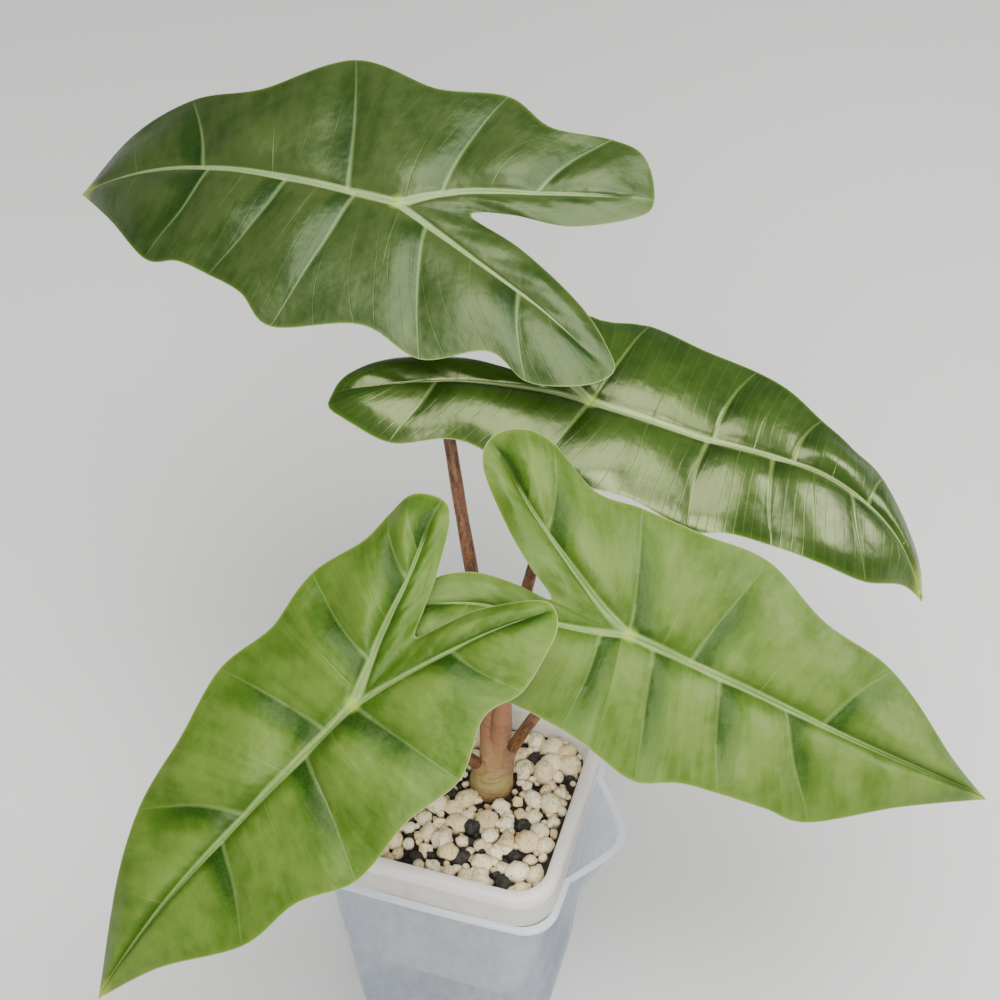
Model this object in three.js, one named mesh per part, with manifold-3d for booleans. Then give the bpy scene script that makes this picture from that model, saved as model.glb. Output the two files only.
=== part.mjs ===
// A potted arrow-leaved aroid: four blades on mottled stalks, in a frosted self-watering pot with a spout.
// Millimetres. X runs along the pot's front towards the spout, Y to the back, Z up from the pot's underside.
import * as THREE from "three";
import { mergeVertices } from "three/addons/utils/BufferGeometryUtils.js";
import Module from "manifold-3d";

const wasm = await Module();
wasm.setup();

// Pot sizes. Halves are measured from the pot's axis to the middle of a flat side.
const POT_HEIGHT = 145;
const COLLAR_HALF = 49;
const COLLAR_HEIGHT = 18.7;
const COLLAR_RADIUS = 17;
const RIM_WIDTH = 5;
const WALL = 1.3;
const SEAT_GAP = 0.3;
const LIP_HALF = 50.4;
const LIP_HEIGHT = 2.2;
const LIP_OVERHANG = 1.4;
const SIDE_BOW = 1.2;
const OUTER_BASE_HALF = 41;
const OUTER_RADIUS = 14;
const OUTER_FLOOR = 1.8;
const LIP_TOP = POT_HEIGHT - COLLAR_HEIGHT - SEAT_GAP;
const SIDE_PARTS = 2;

// Watering spout, moulded into the outer pot's right side.
const SPOUT_REACH = 17;
const SPOUT_HALF = 27;
const SPOUT_CENTRE = 6;
const SPOUT_ROUND = 8;
const SPOUT_DEPTH = 50;
const SPOUT_PARTS = 14;
const SPOUT_DRAW_IN = 0.06;

// Inner pot: tapered body, level floor and a slotted central foot that stands in the water.
const BODY_FLOOR = 47;
const BODY_FLOOR_HALF = 36;
const FOOT_HALF = 12;
const FOOT_BOTTOM = OUTER_FLOOR + 2.2;
const FOOT_RADIUS = 3;
const SLOT_WIDTH = 3;
const SLOT_HEIGHT = 22;

// Potting mix: a bed below the rim, covered with rounded pumice.
const MIX_LEVEL = POT_HEIGHT - 11.5;
const GRANULE_PITCH = 7.6;
const GRANULE_RADIUS = [2.7, 5.2];
const GRANULE_SEED = 71;

// Plant base: a swollen stem that stands in the mix, right of the pot's axis and behind it.
const BASE = new THREE.Vector3(7.5, 11, MIX_LEVEL);
const BASE_RADIUS = 9.3;
const BASE_DEPTH = 13;
const HOLE_RADIUS = BASE_RADIUS + 0.6;

// Sheaths of the base: the length that each wraps of its stalk above the mix, and how it thickens downwards.
const SHEATH_LENGTH = { top: 44, back: 50, front: 20, right: 26 };
const SHEATH_THICKNESS = 1.1;
const SHEATH_SWELL = 1.2;

// Blades: tissue thickness, the keel of the ribs under it, the puff between side veins and the margin's wave.
const BLADE_THICKNESS = 0.9;
const KEEL = 1.9;
const LOBE_KEEL = 1.3;
const PUFF = 1.7;
const INNER_PUFF = 1;
const MARGIN_WAVE = 1.1;
const BLADE_ROWS = [0, 0.1, 0.32, 0.56, 0.8, 1];
const LOBE_ROWS = 9;
const MIDRIB_ROWS = 18;
const ROW_CROWDING = 1.35;

// Each leaf: its stalk joins at `joint`; the midrib leaves it along `heading` and `pitch` below level, and
// `roll` lifts the left side. `droop`, `tipDroop` and `lobeDroop` are falls at 100 mm along the ribs,
// `cup` is the fall 100 mm to the side and `fold` the rise of both halves. In the flat plan u runs from
// the joint to the tip and v to the left. Edge points are [u, v, station]: stations run from 0 at the
// lobe's rib end to 1 at the joint and 2 at the tip, and every second one ends a side vein.
const LEAVES = [
  {
    name: "top",
    joint: [-72, 141, 328],
    heading: 174,
    pitch: 0,
    roll: -22,
    bend: { droop: 13, tipDroop: 21, tipFrom: 62, lobeDroop: 8, cup: 5, fold: 0.03 },
    sinus: [-31, -4],
    midrib: [[50, 0], [112, 1]],
    tip: [169, 5],
    stalk: [[7, 13, 152], [-2, 36, 179], [-15, 58, 209], [-25, 74, 231], [-34, 89, 252], [-47, 109, 285]],
    stalkRadius: [3.3, 2.1],
    left: {
      rib: [[-91, 35], [-71, 26], [-40, 15]],
      lobe: [-108, 42],
      inner: [[-103, 33], [-86, 19], [-56, 4]],
      edge: [
        [-97, 53, 0.13], [-78, 57, 0.32], [-60, 51, 0.56], [-35, 62, 0.83], [-7, 56, 1],
        [29, 66, 1.11], [47, 56, 1.2], [66, 50, 1.3], [83, 47, 1.42], [102, 46, 1.53], [134, 26, 1.8],
      ],
    },
    right: {
      rib: [[-87, -32], [-55, -22], [-22, -12]],
      lobe: [-98, -35],
      inner: [[-94, -25], [-71, -12], [-47, -9]],
      edge: [
        [-89, -51, 0.16], [-73, -56, 0.38], [-48, -52, 0.62], [-25, -62, 0.8], [4, -56, 1],
        [46, -63, 1.13], [82, -41, 1.36], [120, -37, 1.55], [151, -20, 1.8],
      ],
    },
  },
  {
    name: "back",
    joint: [22, 101, 279],
    heading: 3,
    pitch: 8,
    roll: 12,
    bend: { droop: 12, tipDroop: 40, tipFrom: 80, lobeDroop: 10, cup: 30, fold: 0.04 },
    sinus: [-29, 7],
    midrib: [[46, -1], [100, 4], [132, -1]],
    tip: [153, -17],
    stalk: [[10, 14, 152], [10, 25, 188], [12, 41, 219], [14, 52, 236], [19, 84, 264]],
    stalkRadius: [3, 2],
    left: {
      rib: [[-77, 30], [-52, 25], [-24, 14]],
      lobe: [-90, 33],
      inner: [[-86, 25], [-67, 17], [-47, 13]],
      edge: [
        [-82, 43, 0.14], [-66, 46, 0.34], [-48, 41, 0.58], [-24, 46, 0.82], [-5, 43, 0.94],
        [14, 49, 1], [38, 43, 1.17], [62, 43, 1.32], [76, 38, 1.42], [93, 31, 1.53], [108, 24, 1.66],
        [124, 20, 1.75], [146, -1, 1.91],
      ],
    },
    right: {
      rib: [[-88, -16], [-56, -6], [-22, -1]],
      lobe: [-102, -20],
      inner: [[-98, -10], [-83, 1], [-54, 8]],
      edge: [
        [-99, -29, 0.08], [-73, -37, 0.3], [-47, -31, 0.56], [-14, -38, 1], [22, -36, 1.14],
        [50, -40, 1.31], [66, -37, 1.39], [84, -34, 1.48], [105, -33, 1.59], [126, -28, 1.7],
        [143, -18, 1.88],
      ],
    },
  },
  {
    name: "front",
    joint: [-28, -46, 244],
    heading: 235,
    pitch: 30,
    roll: -8,
    bend: { droop: 6, tipDroop: 8, tipFrom: 70, lobeDroop: 7, cup: 5, fold: 0.08 },
    sinus: [-34, -1],
    midrib: [[50, -2], [100, -4]],
    tip: [149, -3],
    stalk: [[4, 7, 149], [-4, -4, 172], [-14, -20, 205], [-24, -36, 228]],
    stalkRadius: [2.9, 2],
    left: {
      rib: [[-70, 28], [-52, 19], [-21, 7]],
      lobe: [-77, 31],
      inner: [[-74, 23], [-58, 10], [-45, 4]],
      edge: [
        [-69, 40, 0.14], [-48, 45, 0.44], [-31, 42, 0.72], [-9, 51, 1], [15, 48, 1.08],
        [43, 48, 1.17], [65, 37, 1.32], [91, 31, 1.47], [122, 10, 1.78],
      ],
    },
    right: {
      rib: [[-67, -28], [-50, -20], [-21, -9]],
      lobe: [-78, -33],
      inner: [[-74, -24], [-57, -13], [-43, -6]],
      edge: [
        [-72, -42, 0.14], [-60, -44, 0.3], [-46, -43, 0.52], [-24, -50, 0.76], [0, -46, 1],
        [27, -51, 1.09], [56, -43, 1.24], [87, -38, 1.38], [121, -20, 1.75],
      ],
    },
  },
  {
    name: "right",
    joint: [61, 17, 243],
    heading: 4,
    pitch: 22,
    roll: 26,
    bend: { droop: 8, tipDroop: 8, tipFrom: 70, lobeDroop: 8, cup: 5, fold: 0.06 },
    sinus: [-33, 1],
    midrib: [[50, 0], [110, 1]],
    tip: [171, 7],
    stalk: [[13, 13, 150], [18, 13, 165], [28, 14, 190], [44, 19, 220]],
    stalkRadius: [2.8, 2],
    left: {
      rib: [[-65, 40], [-50, 28], [-18, 8]],
      lobe: [-78, 50],
      inner: [[-76, 38], [-60, 21], [-46, 10]],
      edge: [
        [-70, 58, 0.12], [-55, 59, 0.34], [-33, 47, 0.66], [-13, 49, 1], [14, 49, 1.06],
        [43, 51, 1.15], [73, 38, 1.32], [108, 34, 1.5], [146, 15, 1.8],
      ],
    },
    right: {
      rib: [[-76, -20], [-57, -12], [-25, -7]],
      lobe: [-84, -24],
      inner: [[-77, -9], [-64, -1], [-48, 1]],
      edge: [
        [-78, -39, 0.12], [-57, -48, 0.4], [-37, -43, 0.64], [-12, -44, 0.86], [5, -48, 1],
        [22, -51, 1.06], [38, -45, 1.15], [54, -42, 1.23], [74, -40, 1.32], [94, -37, 1.4], [130, -15, 1.72],
      ],
    },
  },
];

const MATERIALS = {
  outerPlastic: new THREE.MeshStandardMaterial({ color: 0xc9d3da, roughness: 0.45, metalness: 0 }),
  innerPlastic: new THREE.MeshStandardMaterial({ color: 0xdcdcdc, roughness: 0.5, metalness: 0 }),
  mix: new THREE.MeshStandardMaterial({ color: 0xd8c9a4, roughness: 0.95, metalness: 0 }),
  base: new THREE.MeshStandardMaterial({ color: 0x9a7a4e, roughness: 0.7, metalness: 0 }),
  stalk: new THREE.MeshStandardMaterial({ color: 0x7d4630, roughness: 0.55, metalness: 0 }),
  blade: new THREE.MeshStandardMaterial({ color: 0x5f8a35, roughness: 0.42, metalness: 0 }),
};

function seededRandom(seed) {
  let state = seed;
  return () => {
    state = (state * 1664525 + 1013904223) % 4294967296;
    return state / 4294967296;
  };
}

// Collects triangles whose corners are given as points, and leaves out those that shrink to a line.
class Surface {
  constructor() {
    this.points = [];
    this.faces = [];
    this.known = new Map();
  }

  corner(point) {
    const key = [point.x, point.y, point.z].map((value) => value.toFixed(4)).join();
    if (!this.known.has(key)) {
      this.known.set(key, this.points.length);
      this.points.push(point);
    }
    return this.known.get(key);
  }

  triangle(a, b, c) {
    const corners = [a, b, c].map((point) => this.corner(point));
    if (new Set(corners).size === 3) this.faces.push(...corners);
  }

  quad(a, b, c, d) {
    this.triangle(a, b, c);
    this.triangle(a, c, d);
  }

  geometry() {
    const geometry = new THREE.BufferGeometry().setFromPoints(this.points);
    geometry.setIndex(this.faces);
    geometry.computeVertexNormals();
    return geometry;
  }
}

function solidOf(geometry) {
  const bare = geometry.clone();
  bare.deleteAttribute("normal");
  bare.deleteAttribute("uv");
  const merged = mergeVertices(bare, 1e-4);
  const vertProperties = new Float32Array(merged.attributes.position.array);
  const triVerts = new Uint32Array(merged.index.array);
  return new wasm.Manifold(new wasm.Mesh({ numProp: 3, vertProperties, triVerts }));
}

function geometryOf(solid) {
  const mesh = solid.getMesh();
  const geometry = new THREE.BufferGeometry();
  geometry.setAttribute("position", new THREE.BufferAttribute(mesh.vertProperties, 3));
  geometry.setIndex(new THREE.BufferAttribute(mesh.triVerts, 1));
  geometry.computeVertexNormals();
  return geometry;
}

function largestBody(solid) {
  return solid.decompose().reduce((a, b) => (b.volume() > a.volume() ? b : a));
}

// A square outline with round corners, anticlockwise from the front of the right side. Its sides bow out.
function roundedSquare(half, radius, bow = 0, rightParts = SIDE_PARTS, cornerParts = 5) {
  const flat = half - radius;
  const outline = [];
  for (let side = 0; side < 4; side++) {
    const turn = (side * Math.PI) / 2;
    const parts = side === 0 ? rightParts : SIDE_PARTS;
    for (let i = 0; i < parts; i++) {
      const along = -flat + (2 * flat * i) / parts;
      const swell = bow * (1 - (along / half) ** 2);
      outline.push(new THREE.Vector2(half + swell, along).rotateAround(new THREE.Vector2(), turn));
    }
    for (let i = 0; i < cornerParts; i++) {
      const angle = ((i / cornerParts) * Math.PI) / 2;
      const swell = bow * (1 - (flat / half) ** 2);
      const corner = new THREE.Vector2(
        flat + (radius + swell) * Math.cos(angle),
        flat + (radius + swell) * Math.sin(angle),
      );
      outline.push(corner.rotateAround(new THREE.Vector2(), turn));
    }
  }
  return outline;
}

// Skins a list of { outline, z } rings, from the middle of the underside to the middle of the top.
function loft(rings) {
  const surface = new Surface();
  const loops = rings.map(({ outline, z }) => outline.map((p) => new THREE.Vector3(p.x, p.y, z)));
  const count = loops[0].length;
  for (let i = 0; i + 1 < loops.length; i++) {
    for (let j = 0; j < count; j++) {
      const k = (j + 1) % count;
      surface.quad(loops[i][j], loops[i][k], loops[i + 1][k], loops[i + 1][j]);
    }
  }
  const cap = (loop, flip) => {
    const middle = loop.reduce((sum, p) => sum.add(p), new THREE.Vector3()).divideScalar(count);
    for (let j = 0; j < count; j++) {
      const k = (j + 1) % count;
      surface.triangle(middle, flip ? loop[k] : loop[j], flip ? loop[j] : loop[k]);
    }
  };
  cap(loops[0], true);
  cap(loops[loops.length - 1], false);
  return surface.geometry();
}

// How far the spout stands out at a place along the right side: straight flanks and a round nose.
function spoutReach(y, z) {
  const fade = THREE.MathUtils.clamp((z - LIP_TOP + SPOUT_DEPTH) / SPOUT_DEPTH, 0, 1);
  const rounded = (d) => Math.hypot(d, SPOUT_ROUND) - SPOUT_ROUND;
  const share = 1 - rounded(y - SPOUT_CENTRE) / rounded(SPOUT_HALF);
  return SPOUT_REACH * fade * Math.max(0, share);
}

// The outer pot's outline at a height, drawn in by `inset`. The spout's slanted flanks draw in further.
function outerOutline(half, z, inset = 0) {
  const outline = roundedSquare(half - inset, OUTER_RADIUS - inset, SIDE_BOW * (z / LIP_TOP), SPOUT_PARTS);
  const kept = 1 - SPOUT_DRAW_IN * (inset / WALL);
  const pushed = (p) => new THREE.Vector2(p.x + spoutReach(p.y, z) * kept, p.y);
  return outline.map((p, i) => (i < SPOUT_PARTS ? pushed(p) : p));
}

function outerPotGeometry() {
  const wallHalf = LIP_HALF - LIP_OVERHANG;
  const halfAt = (z) => OUTER_BASE_HALF + ((wallHalf - OUTER_BASE_HALF) * z) / LIP_TOP;
  const spoutFoot = LIP_TOP - SPOUT_DEPTH;
  const spoutMiddle = LIP_TOP - SPOUT_DEPTH / 2;
  const underLip = LIP_TOP - LIP_HEIGHT;
  const ring = (z, half, inset) => ({ z, outline: outerOutline(half, z, inset) });
  return loft([
    ring(0, OUTER_BASE_HALF - 1.2, 0),
    ring(1.2, OUTER_BASE_HALF, 0),
    ring(spoutFoot, halfAt(spoutFoot), 0),
    ring(spoutMiddle, halfAt(spoutMiddle), 0),
    ring(underLip - LIP_OVERHANG, wallHalf, 0),
    ring(underLip, LIP_HALF, 0),
    ring(LIP_TOP, LIP_HALF, 0),
    ring(LIP_TOP, wallHalf, WALL),
    ring(spoutMiddle, halfAt(spoutMiddle), WALL),
    ring(spoutFoot, halfAt(spoutFoot), WALL),
    ring(OUTER_FLOOR, halfAt(OUTER_FLOOR), WALL),
  ]);
}

// The inner pot's body and the mix in it share these halves: `inset` draws them in from the wall's outside.
function bodyHalf(z) {
  const top = COLLAR_HALF - RIM_WIDTH + WALL;
  const share = (z - BODY_FLOOR) / (POT_HEIGHT - BODY_FLOOR);
  return BODY_FLOOR_HALF + (top - BODY_FLOOR_HALF) * share;
}

function bodyRing(z, inset) {
  return { z, outline: roundedSquare(bodyHalf(z) - inset, COLLAR_RADIUS - 3 - inset) };
}

function footRing(z, inset) {
  return { z, outline: roundedSquare(FOOT_HALF - inset, Math.max(1, FOOT_RADIUS - inset)) };
}

function innerPotGeometry() {
  const underRim = POT_HEIGHT - WALL;
  const skirtFoot = POT_HEIGHT - COLLAR_HEIGHT;
  const skirt = (z, inset) => ({ z, outline: roundedSquare(COLLAR_HALF - inset, COLLAR_RADIUS - inset) });
  const shell = loft([
    footRing(FOOT_BOTTOM, 0),
    footRing(BODY_FLOOR, 0),
    bodyRing(BODY_FLOOR, 0),
    bodyRing(underRim, 0),
    skirt(underRim, WALL),
    skirt(skirtFoot, WALL),
    skirt(skirtFoot, 0),
    skirt(POT_HEIGHT - 0.8, 0),
    skirt(POT_HEIGHT, 0.8),
    bodyRing(POT_HEIGHT, WALL),
    bodyRing(BODY_FLOOR + WALL, WALL),
    footRing(BODY_FLOOR + WALL, WALL),
    footRing(FOOT_BOTTOM + WALL, WALL),
  ]);
  let pot = solidOf(shell);
  const slotMiddle = FOOT_BOTTOM + WALL + SLOT_HEIGHT / 2 + 3;
  for (const [width, depth] of [[SLOT_WIDTH, 3 * FOOT_HALF], [3 * FOOT_HALF, SLOT_WIDTH]]) {
    const slot = new THREE.BoxGeometry(width, depth, SLOT_HEIGHT).translate(0, 0, slotMiddle);
    pot = pot.subtract(solidOf(slot));
  }
  return geometryOf(pot);
}

// One lumpy granule: a twenty-sided stone, stretched and turned at random.
function granule(random, radius, x, y, z) {
  const stone = new THREE.IcosahedronGeometry(radius, 0);
  stone.scale(1, 0.78 + 0.22 * random(), 0.72 + 0.2 * random());
  stone.rotateX(random() * Math.PI);
  stone.rotateZ(random() * Math.PI * 2);
  return stone.translate(x, y, z);
}

// Places on the bed for granules: a staggered and shaken grid, clear of the wall and the plant's base.
function granulePlaces(random) {
  const places = [];
  const reach = bodyHalf(MIX_LEVEL) - WALL - SEAT_GAP;
  const corner = COLLAR_RADIUS - 3 - WALL - SEAT_GAP;
  const steps = Math.ceil(reach / GRANULE_PITCH);
  for (let row = -steps; row <= steps; row++) {
    for (let column = -steps; column <= steps; column++) {
      const radius = THREE.MathUtils.lerp(...GRANULE_RADIUS, random() ** 1.4);
      const x = (column + (row % 2) / 2) * GRANULE_PITCH + (random() - 0.5) * 2.6;
      const y = row * GRANULE_PITCH * 0.94 + (random() - 0.5) * 2.6;
      const room = reach - radius - 0.2;
      const cornerX = Math.max(0, Math.abs(x) - reach + corner);
      const cornerY = Math.max(0, Math.abs(y) - reach + corner);
      const insideSides = Math.max(Math.abs(x), Math.abs(y)) < room;
      const insideCorners = Math.hypot(cornerX, cornerY) < corner - radius;
      const clearOfBase = Math.hypot(x - BASE.x, y - BASE.y) > HOLE_RADIUS + radius * 0.7;
      if (insideSides && insideCorners && clearOfBase) places.push({ x, y, radius });
    }
  }
  return places;
}

function pottingMixGeometry() {
  const random = seededRandom(GRANULE_SEED);
  const inset = WALL + SEAT_GAP;
  const bed = loft([
    footRing(FOOT_BOTTOM + inset, inset),
    footRing(BODY_FLOOR + inset, inset),
    bodyRing(BODY_FLOOR + inset, inset),
    bodyRing(MIX_LEVEL, inset),
  ]);
  let mix = solidOf(bed);
  for (const { x, y, radius } of granulePlaces(random)) {
    const z = MIX_LEVEL + radius * (0.1 + 0.35 * random());
    mix = mix.add(solidOf(granule(random, radius, x, y, z)));
  }
  const hole = new THREE.CylinderGeometry(HOLE_RADIUS, HOLE_RADIUS, BASE_DEPTH + 20, 16);
  hole.rotateX(Math.PI / 2).translate(BASE.x, BASE.y, MIX_LEVEL - BASE_DEPTH - 0.3 + (BASE_DEPTH + 20) / 2);
  return geometryOf(largestBody(mix.subtract(solidOf(hole))));
}

function unitVectors({ heading, pitch, roll }) {
  const [h, p, r] = [heading, pitch, roll].map(THREE.MathUtils.degToRad);
  const along = new THREE.Vector3(Math.cos(h) * Math.cos(p), Math.sin(h) * Math.cos(p), -Math.sin(p));
  const level = new THREE.Vector3(-Math.sin(h), Math.cos(h), 0);
  const left = level.applyAxisAngle(along, r);
  return { along, left, up: new THREE.Vector3().crossVectors(along, left) };
}

// Height of a leaf's bent surface over its flat plan.
function bentHeight({ droop, tipDroop, tipFrom, lobeDroop, cup, fold }, u, v) {
  const square = (length) => (length / 100) ** 2;
  const ahead = droop * square(u) + tipDroop * square(Math.max(u - tipFrom, 0));
  const fall = u > 0 ? ahead : lobeDroop * square(u);
  return -fall - cup * square(v) + fold * Math.abs(v);
}

// A smooth curve in the plan that passes through points given at rising stations.
function planCurve(points, stations) {
  const curve = new THREE.SplineCurve(points.map(([u, v]) => new THREE.Vector2(u, v)));
  return (station) => {
    let i = 0;
    while (i < stations.length - 2 && station > stations[i + 1]) i++;
    const share = (station - stations[i]) / (stations[i + 1] - stations[i]);
    return curve.getPoint((i + share) / (points.length - 1));
  };
}

// The ribs of one half as a function of station: lobe rib from 0 to 1, midrib from 1 to 2.
function ribLine(leaf, half) {
  const curveOf = (points) => new THREE.SplineCurve(points.map(([u, v]) => new THREE.Vector2(u, v)));
  const lobeRib = curveOf([...half.rib, [0, 0]]);
  const midrib = curveOf([[0, 0], ...leaf.midrib, leaf.tip]);
  return (station) => (station < 1 ? lobeRib.getPointAt(station) : midrib.getPointAt(station - 1));
}

// How full a puff is at a station: nothing on a side vein, 1 midway between two.
function puffAt(half, station) {
  const veins = [0, ...half.edge.filter((_, i) => i % 2 === 1).map(([, , s]) => s), 2];
  const next = veins.findIndex((s) => s >= station);
  const [a, b] = [veins[Math.max(0, next - 1)], veins[Math.max(1, next)]];
  return Math.sin((Math.PI * (station - a)) / (b - a)) ** 2;
}

// The stations of a blade's rows: even along the lobes, closer along the midrib near the joint.
const LOBE_STATIONS = Array.from({ length: LOBE_ROWS + 1 }, (_, i) => i / LOBE_ROWS);
const MIDRIB_STATIONS = Array.from(
  { length: MIDRIB_ROWS },
  (_, i) => 1 + ((i + 1) / MIDRIB_ROWS) ** ROW_CROWDING,
);

function keelAt(station) {
  return station < 1 ? THREE.MathUtils.lerp(LOBE_KEEL, KEEL, station) : KEEL * (2.05 - station);
}

// Rows from the ribs to the outer margin: plan points, each with its relief over the bent surface.
function outerRows(leaf, half) {
  const rib = ribLine(leaf, half);
  const marks = [[...half.lobe, 0], ...half.edge, [...leaf.tip, 2]];
  const margin = planCurve(marks, marks.map(([, , station]) => station));
  return [...LOBE_STATIONS, ...MIDRIB_STATIONS].map((station) => {
    const [start, end] = [rib(station), margin(station)];
    const fullness = puffAt(half, station);
    const calm = Math.min(1, 2 * (2 - station));
    return BLADE_ROWS.map((t) => {
      const wave = MARGIN_WAVE * (2 * fullness - 1) * t ** 3 * calm;
      const relief = PUFF * fullness * Math.sin(Math.PI * t ** 0.8) + wave;
      return { plan: start.clone().lerp(end, t), relief, keel: t === 0 ? keelAt(station) : 0 };
    });
  });
}

// Rows from a lobe's rib to its inner margin, from the lobe's end to the line between joint and sinus.
function innerRows(leaf, half) {
  const rib = ribLine(leaf, half);
  const outline = [half.lobe, ...half.inner, leaf.sinus].map(([u, v]) => new THREE.Vector2(u, v));
  const margin = new THREE.SplineCurve(outline);
  return LOBE_STATIONS.map((station) => {
    const [start, end] = [rib(station), margin.getPointAt(station)];
    const wave = station === 0 ? -MARGIN_WAVE : 0;
    return BLADE_ROWS.map((t) => {
      const relief = INNER_PUFF * Math.sin(Math.PI * station) * Math.sin(Math.PI * t) + wave * t ** 3;
      return { plan: start.clone().lerp(end, t), relief, keel: t === 0 ? keelAt(station) : 0 };
    });
  });
}

// A blade: four patches that share the ribs, each split alike on both faces, and a narrow edge round them.
function bladeGeometry(leaf) {
  const { along, left, up } = unitVectors(leaf);
  const joint = new THREE.Vector3(...leaf.joint);
  const place = ({ plan, relief }) =>
    joint
      .clone()
      .addScaledVector(along, plan.x)
      .addScaledVector(left, plan.y)
      .addScaledVector(up, bentHeight(leaf.bend, plan.x, plan.y) + relief);
  const patches = [
    { rows: outerRows(leaf, leaf.left), flip: true },
    { rows: outerRows(leaf, leaf.right), flip: false },
    { rows: innerRows(leaf, leaf.left), flip: false },
    { rows: innerRows(leaf, leaf.right), flip: true },
  ];
  const middle = new Surface();
  const keels = new Map();
  for (const { rows, flip } of patches) {
    const points = rows.map((row) => row.map(place));
    rows.forEach((row, i) =>
      row.forEach(({ keel }, j) => {
        const corner = middle.corner(points[i][j]);
        keels.set(corner, Math.max(keel, keels.get(corner) ?? 0));
      }),
    );
    for (let i = 0; i + 1 < rows.length; i++) {
      for (let j = 0; j + 1 < BLADE_ROWS.length; j++) {
        const [a, b, c, d] = [points[i][j], points[i + 1][j], points[i + 1][j + 1], points[i][j + 1]];
        if (flip) middle.quad(a, b, c, d);
        else middle.quad(a, d, c, b);
      }
    }
  }
  return thicken(middle, keels);
}

// Gives a sheet its thickness: the upper face half of it above, the lower half of it and the keel below.
function thicken(sheet, keels) {
  const normals = sheet.geometry().attributes.normal;
  const count = sheet.points.length;
  const shift = (i, distance) => {
    const normal = new THREE.Vector3().fromBufferAttribute(normals, i);
    return sheet.points[i].clone().addScaledVector(normal, distance);
  };
  const points = [];
  for (let i = 0; i < count; i++) points.push(shift(i, BLADE_THICKNESS / 2));
  for (let i = 0; i < count; i++) points.push(shift(i, -BLADE_THICKNESS / 2 - keels.get(i)));
  const faces = [...sheet.faces];
  const edges = new Map();
  for (let i = 0; i < sheet.faces.length; i += 3) {
    const [a, b, c] = sheet.faces.slice(i, i + 3);
    faces.push(a + count, c + count, b + count);
    for (const [p, q] of [[a, b], [b, c], [c, a]]) edges.set(`${p},${q}`, [p, q]);
  }
  for (const [p, q] of edges.values()) {
    if (!edges.has(`${q},${p}`)) faces.push(q, p, p + count, q, p + count, q + count);
  }
  const geometry = new THREE.BufferGeometry().setFromPoints(points);
  geometry.setIndex(faces);
  geometry.computeVertexNormals();
  return geometry;
}

// A stalk's whole course, from inside the swollen base to just under the blade's joint.
function stalkCurve(leaf) {
  const { up } = unitVectors(leaf);
  const joint = new THREE.Vector3(...leaf.joint);
  const under = BLADE_THICKNESS / 2 + KEEL + SEAT_GAP;
  const foot = new THREE.Vector3(leaf.stalk[0][0], leaf.stalk[0][1], MIX_LEVEL - 4).lerp(BASE, 0.4);
  const points = leaf.stalk.map((p) => new THREE.Vector3(...p));
  const neck = joint.clone().addScaledVector(up, -under - 9);
  const end = joint.clone().addScaledVector(up, -under);
  return new THREE.CatmullRomCurve3([foot, ...points, neck, end], false, "centripetal");
}

// A round stalk along a stretch of a curve, its radius a function of the share of the whole curve.
function stalkGeometry(curve, from, to, radiusAt, steps, sides) {
  const frames = curve.computeFrenetFrames(120, false);
  const surface = new Surface();
  const ringAt = (share) => {
    const frame = Math.round(share * 120);
    const middle = curve.getPointAt(share);
    return Array.from({ length: sides }, (_, i) => {
      const angle = (i / sides) * Math.PI * 2;
      return middle
        .clone()
        .addScaledVector(frames.normals[frame], Math.cos(angle) * radiusAt(share))
        .addScaledVector(frames.binormals[frame], Math.sin(angle) * radiusAt(share));
    });
  };
  const shares = Array.from({ length: steps + 1 }, (_, i) => THREE.MathUtils.lerp(from, to, i / steps));
  const rings = shares.map(ringAt);
  for (let i = 0; i < steps; i++) {
    for (let j = 0; j < sides; j++) {
      const k = (j + 1) % sides;
      surface.quad(rings[i][j], rings[i][k], rings[i + 1][k], rings[i + 1][j]);
    }
  }
  for (let j = 0; j < sides; j++) {
    const k = (j + 1) % sides;
    surface.triangle(curve.getPointAt(from), rings[0][k], rings[0][j]);
    surface.triangle(curve.getPointAt(to), rings[steps][j], rings[steps][k]);
  }
  return surface.geometry();
}

function sheathEnd(leaf, curve) {
  return (SHEATH_LENGTH[leaf.name] + 4) / curve.getLength();
}

function petioleGeometry(leaf) {
  const curve = stalkCurve(leaf);
  const [low, high] = leaf.stalkRadius;
  const start = sheathEnd(leaf, curve) + SEAT_GAP / curve.getLength();
  const steps = Math.round(curve.getLength() / 12);
  return stalkGeometry(curve, start, 1, (share) => THREE.MathUtils.lerp(low, high, share), steps, 8);
}

function stemBaseGeometry() {
  const profile = [
    [0, -BASE_DEPTH],
    [0.5 * BASE_RADIUS, -BASE_DEPTH + 1],
    [0.82 * BASE_RADIUS, -BASE_DEPTH * 0.5],
    [BASE_RADIUS, 0],
    [BASE_RADIUS, 4],
    [0.86 * BASE_RADIUS, 9],
    [0.6 * BASE_RADIUS, 15],
    [0, 19],
  ].map(([r, z]) => new THREE.Vector2(r, z));
  const bulb = new THREE.LatheGeometry(profile, 16).rotateX(Math.PI / 2);
  bulb.translate(BASE.x, BASE.y, BASE.z);
  let base = solidOf(bulb);
  for (const leaf of LEAVES) {
    const curve = stalkCurve(leaf);
    const [low, high] = leaf.stalkRadius;
    const end = sheathEnd(leaf, curve);
    const sheathAt = (share) => SHEATH_THICKNESS * (1 + SHEATH_SWELL * Math.max(0, 1 - share / end));
    const radiusAt = (share) => THREE.MathUtils.lerp(low, high, share) + sheathAt(share);
    base = base.add(solidOf(stalkGeometry(curve, 0.01, end, radiusAt, 6, 10)));
  }
  return geometryOf(largestBody(base));
}

function named(name, geometry, material) {
  const mesh = new THREE.Mesh(geometry, material);
  mesh.name = name;
  return mesh;
}

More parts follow.
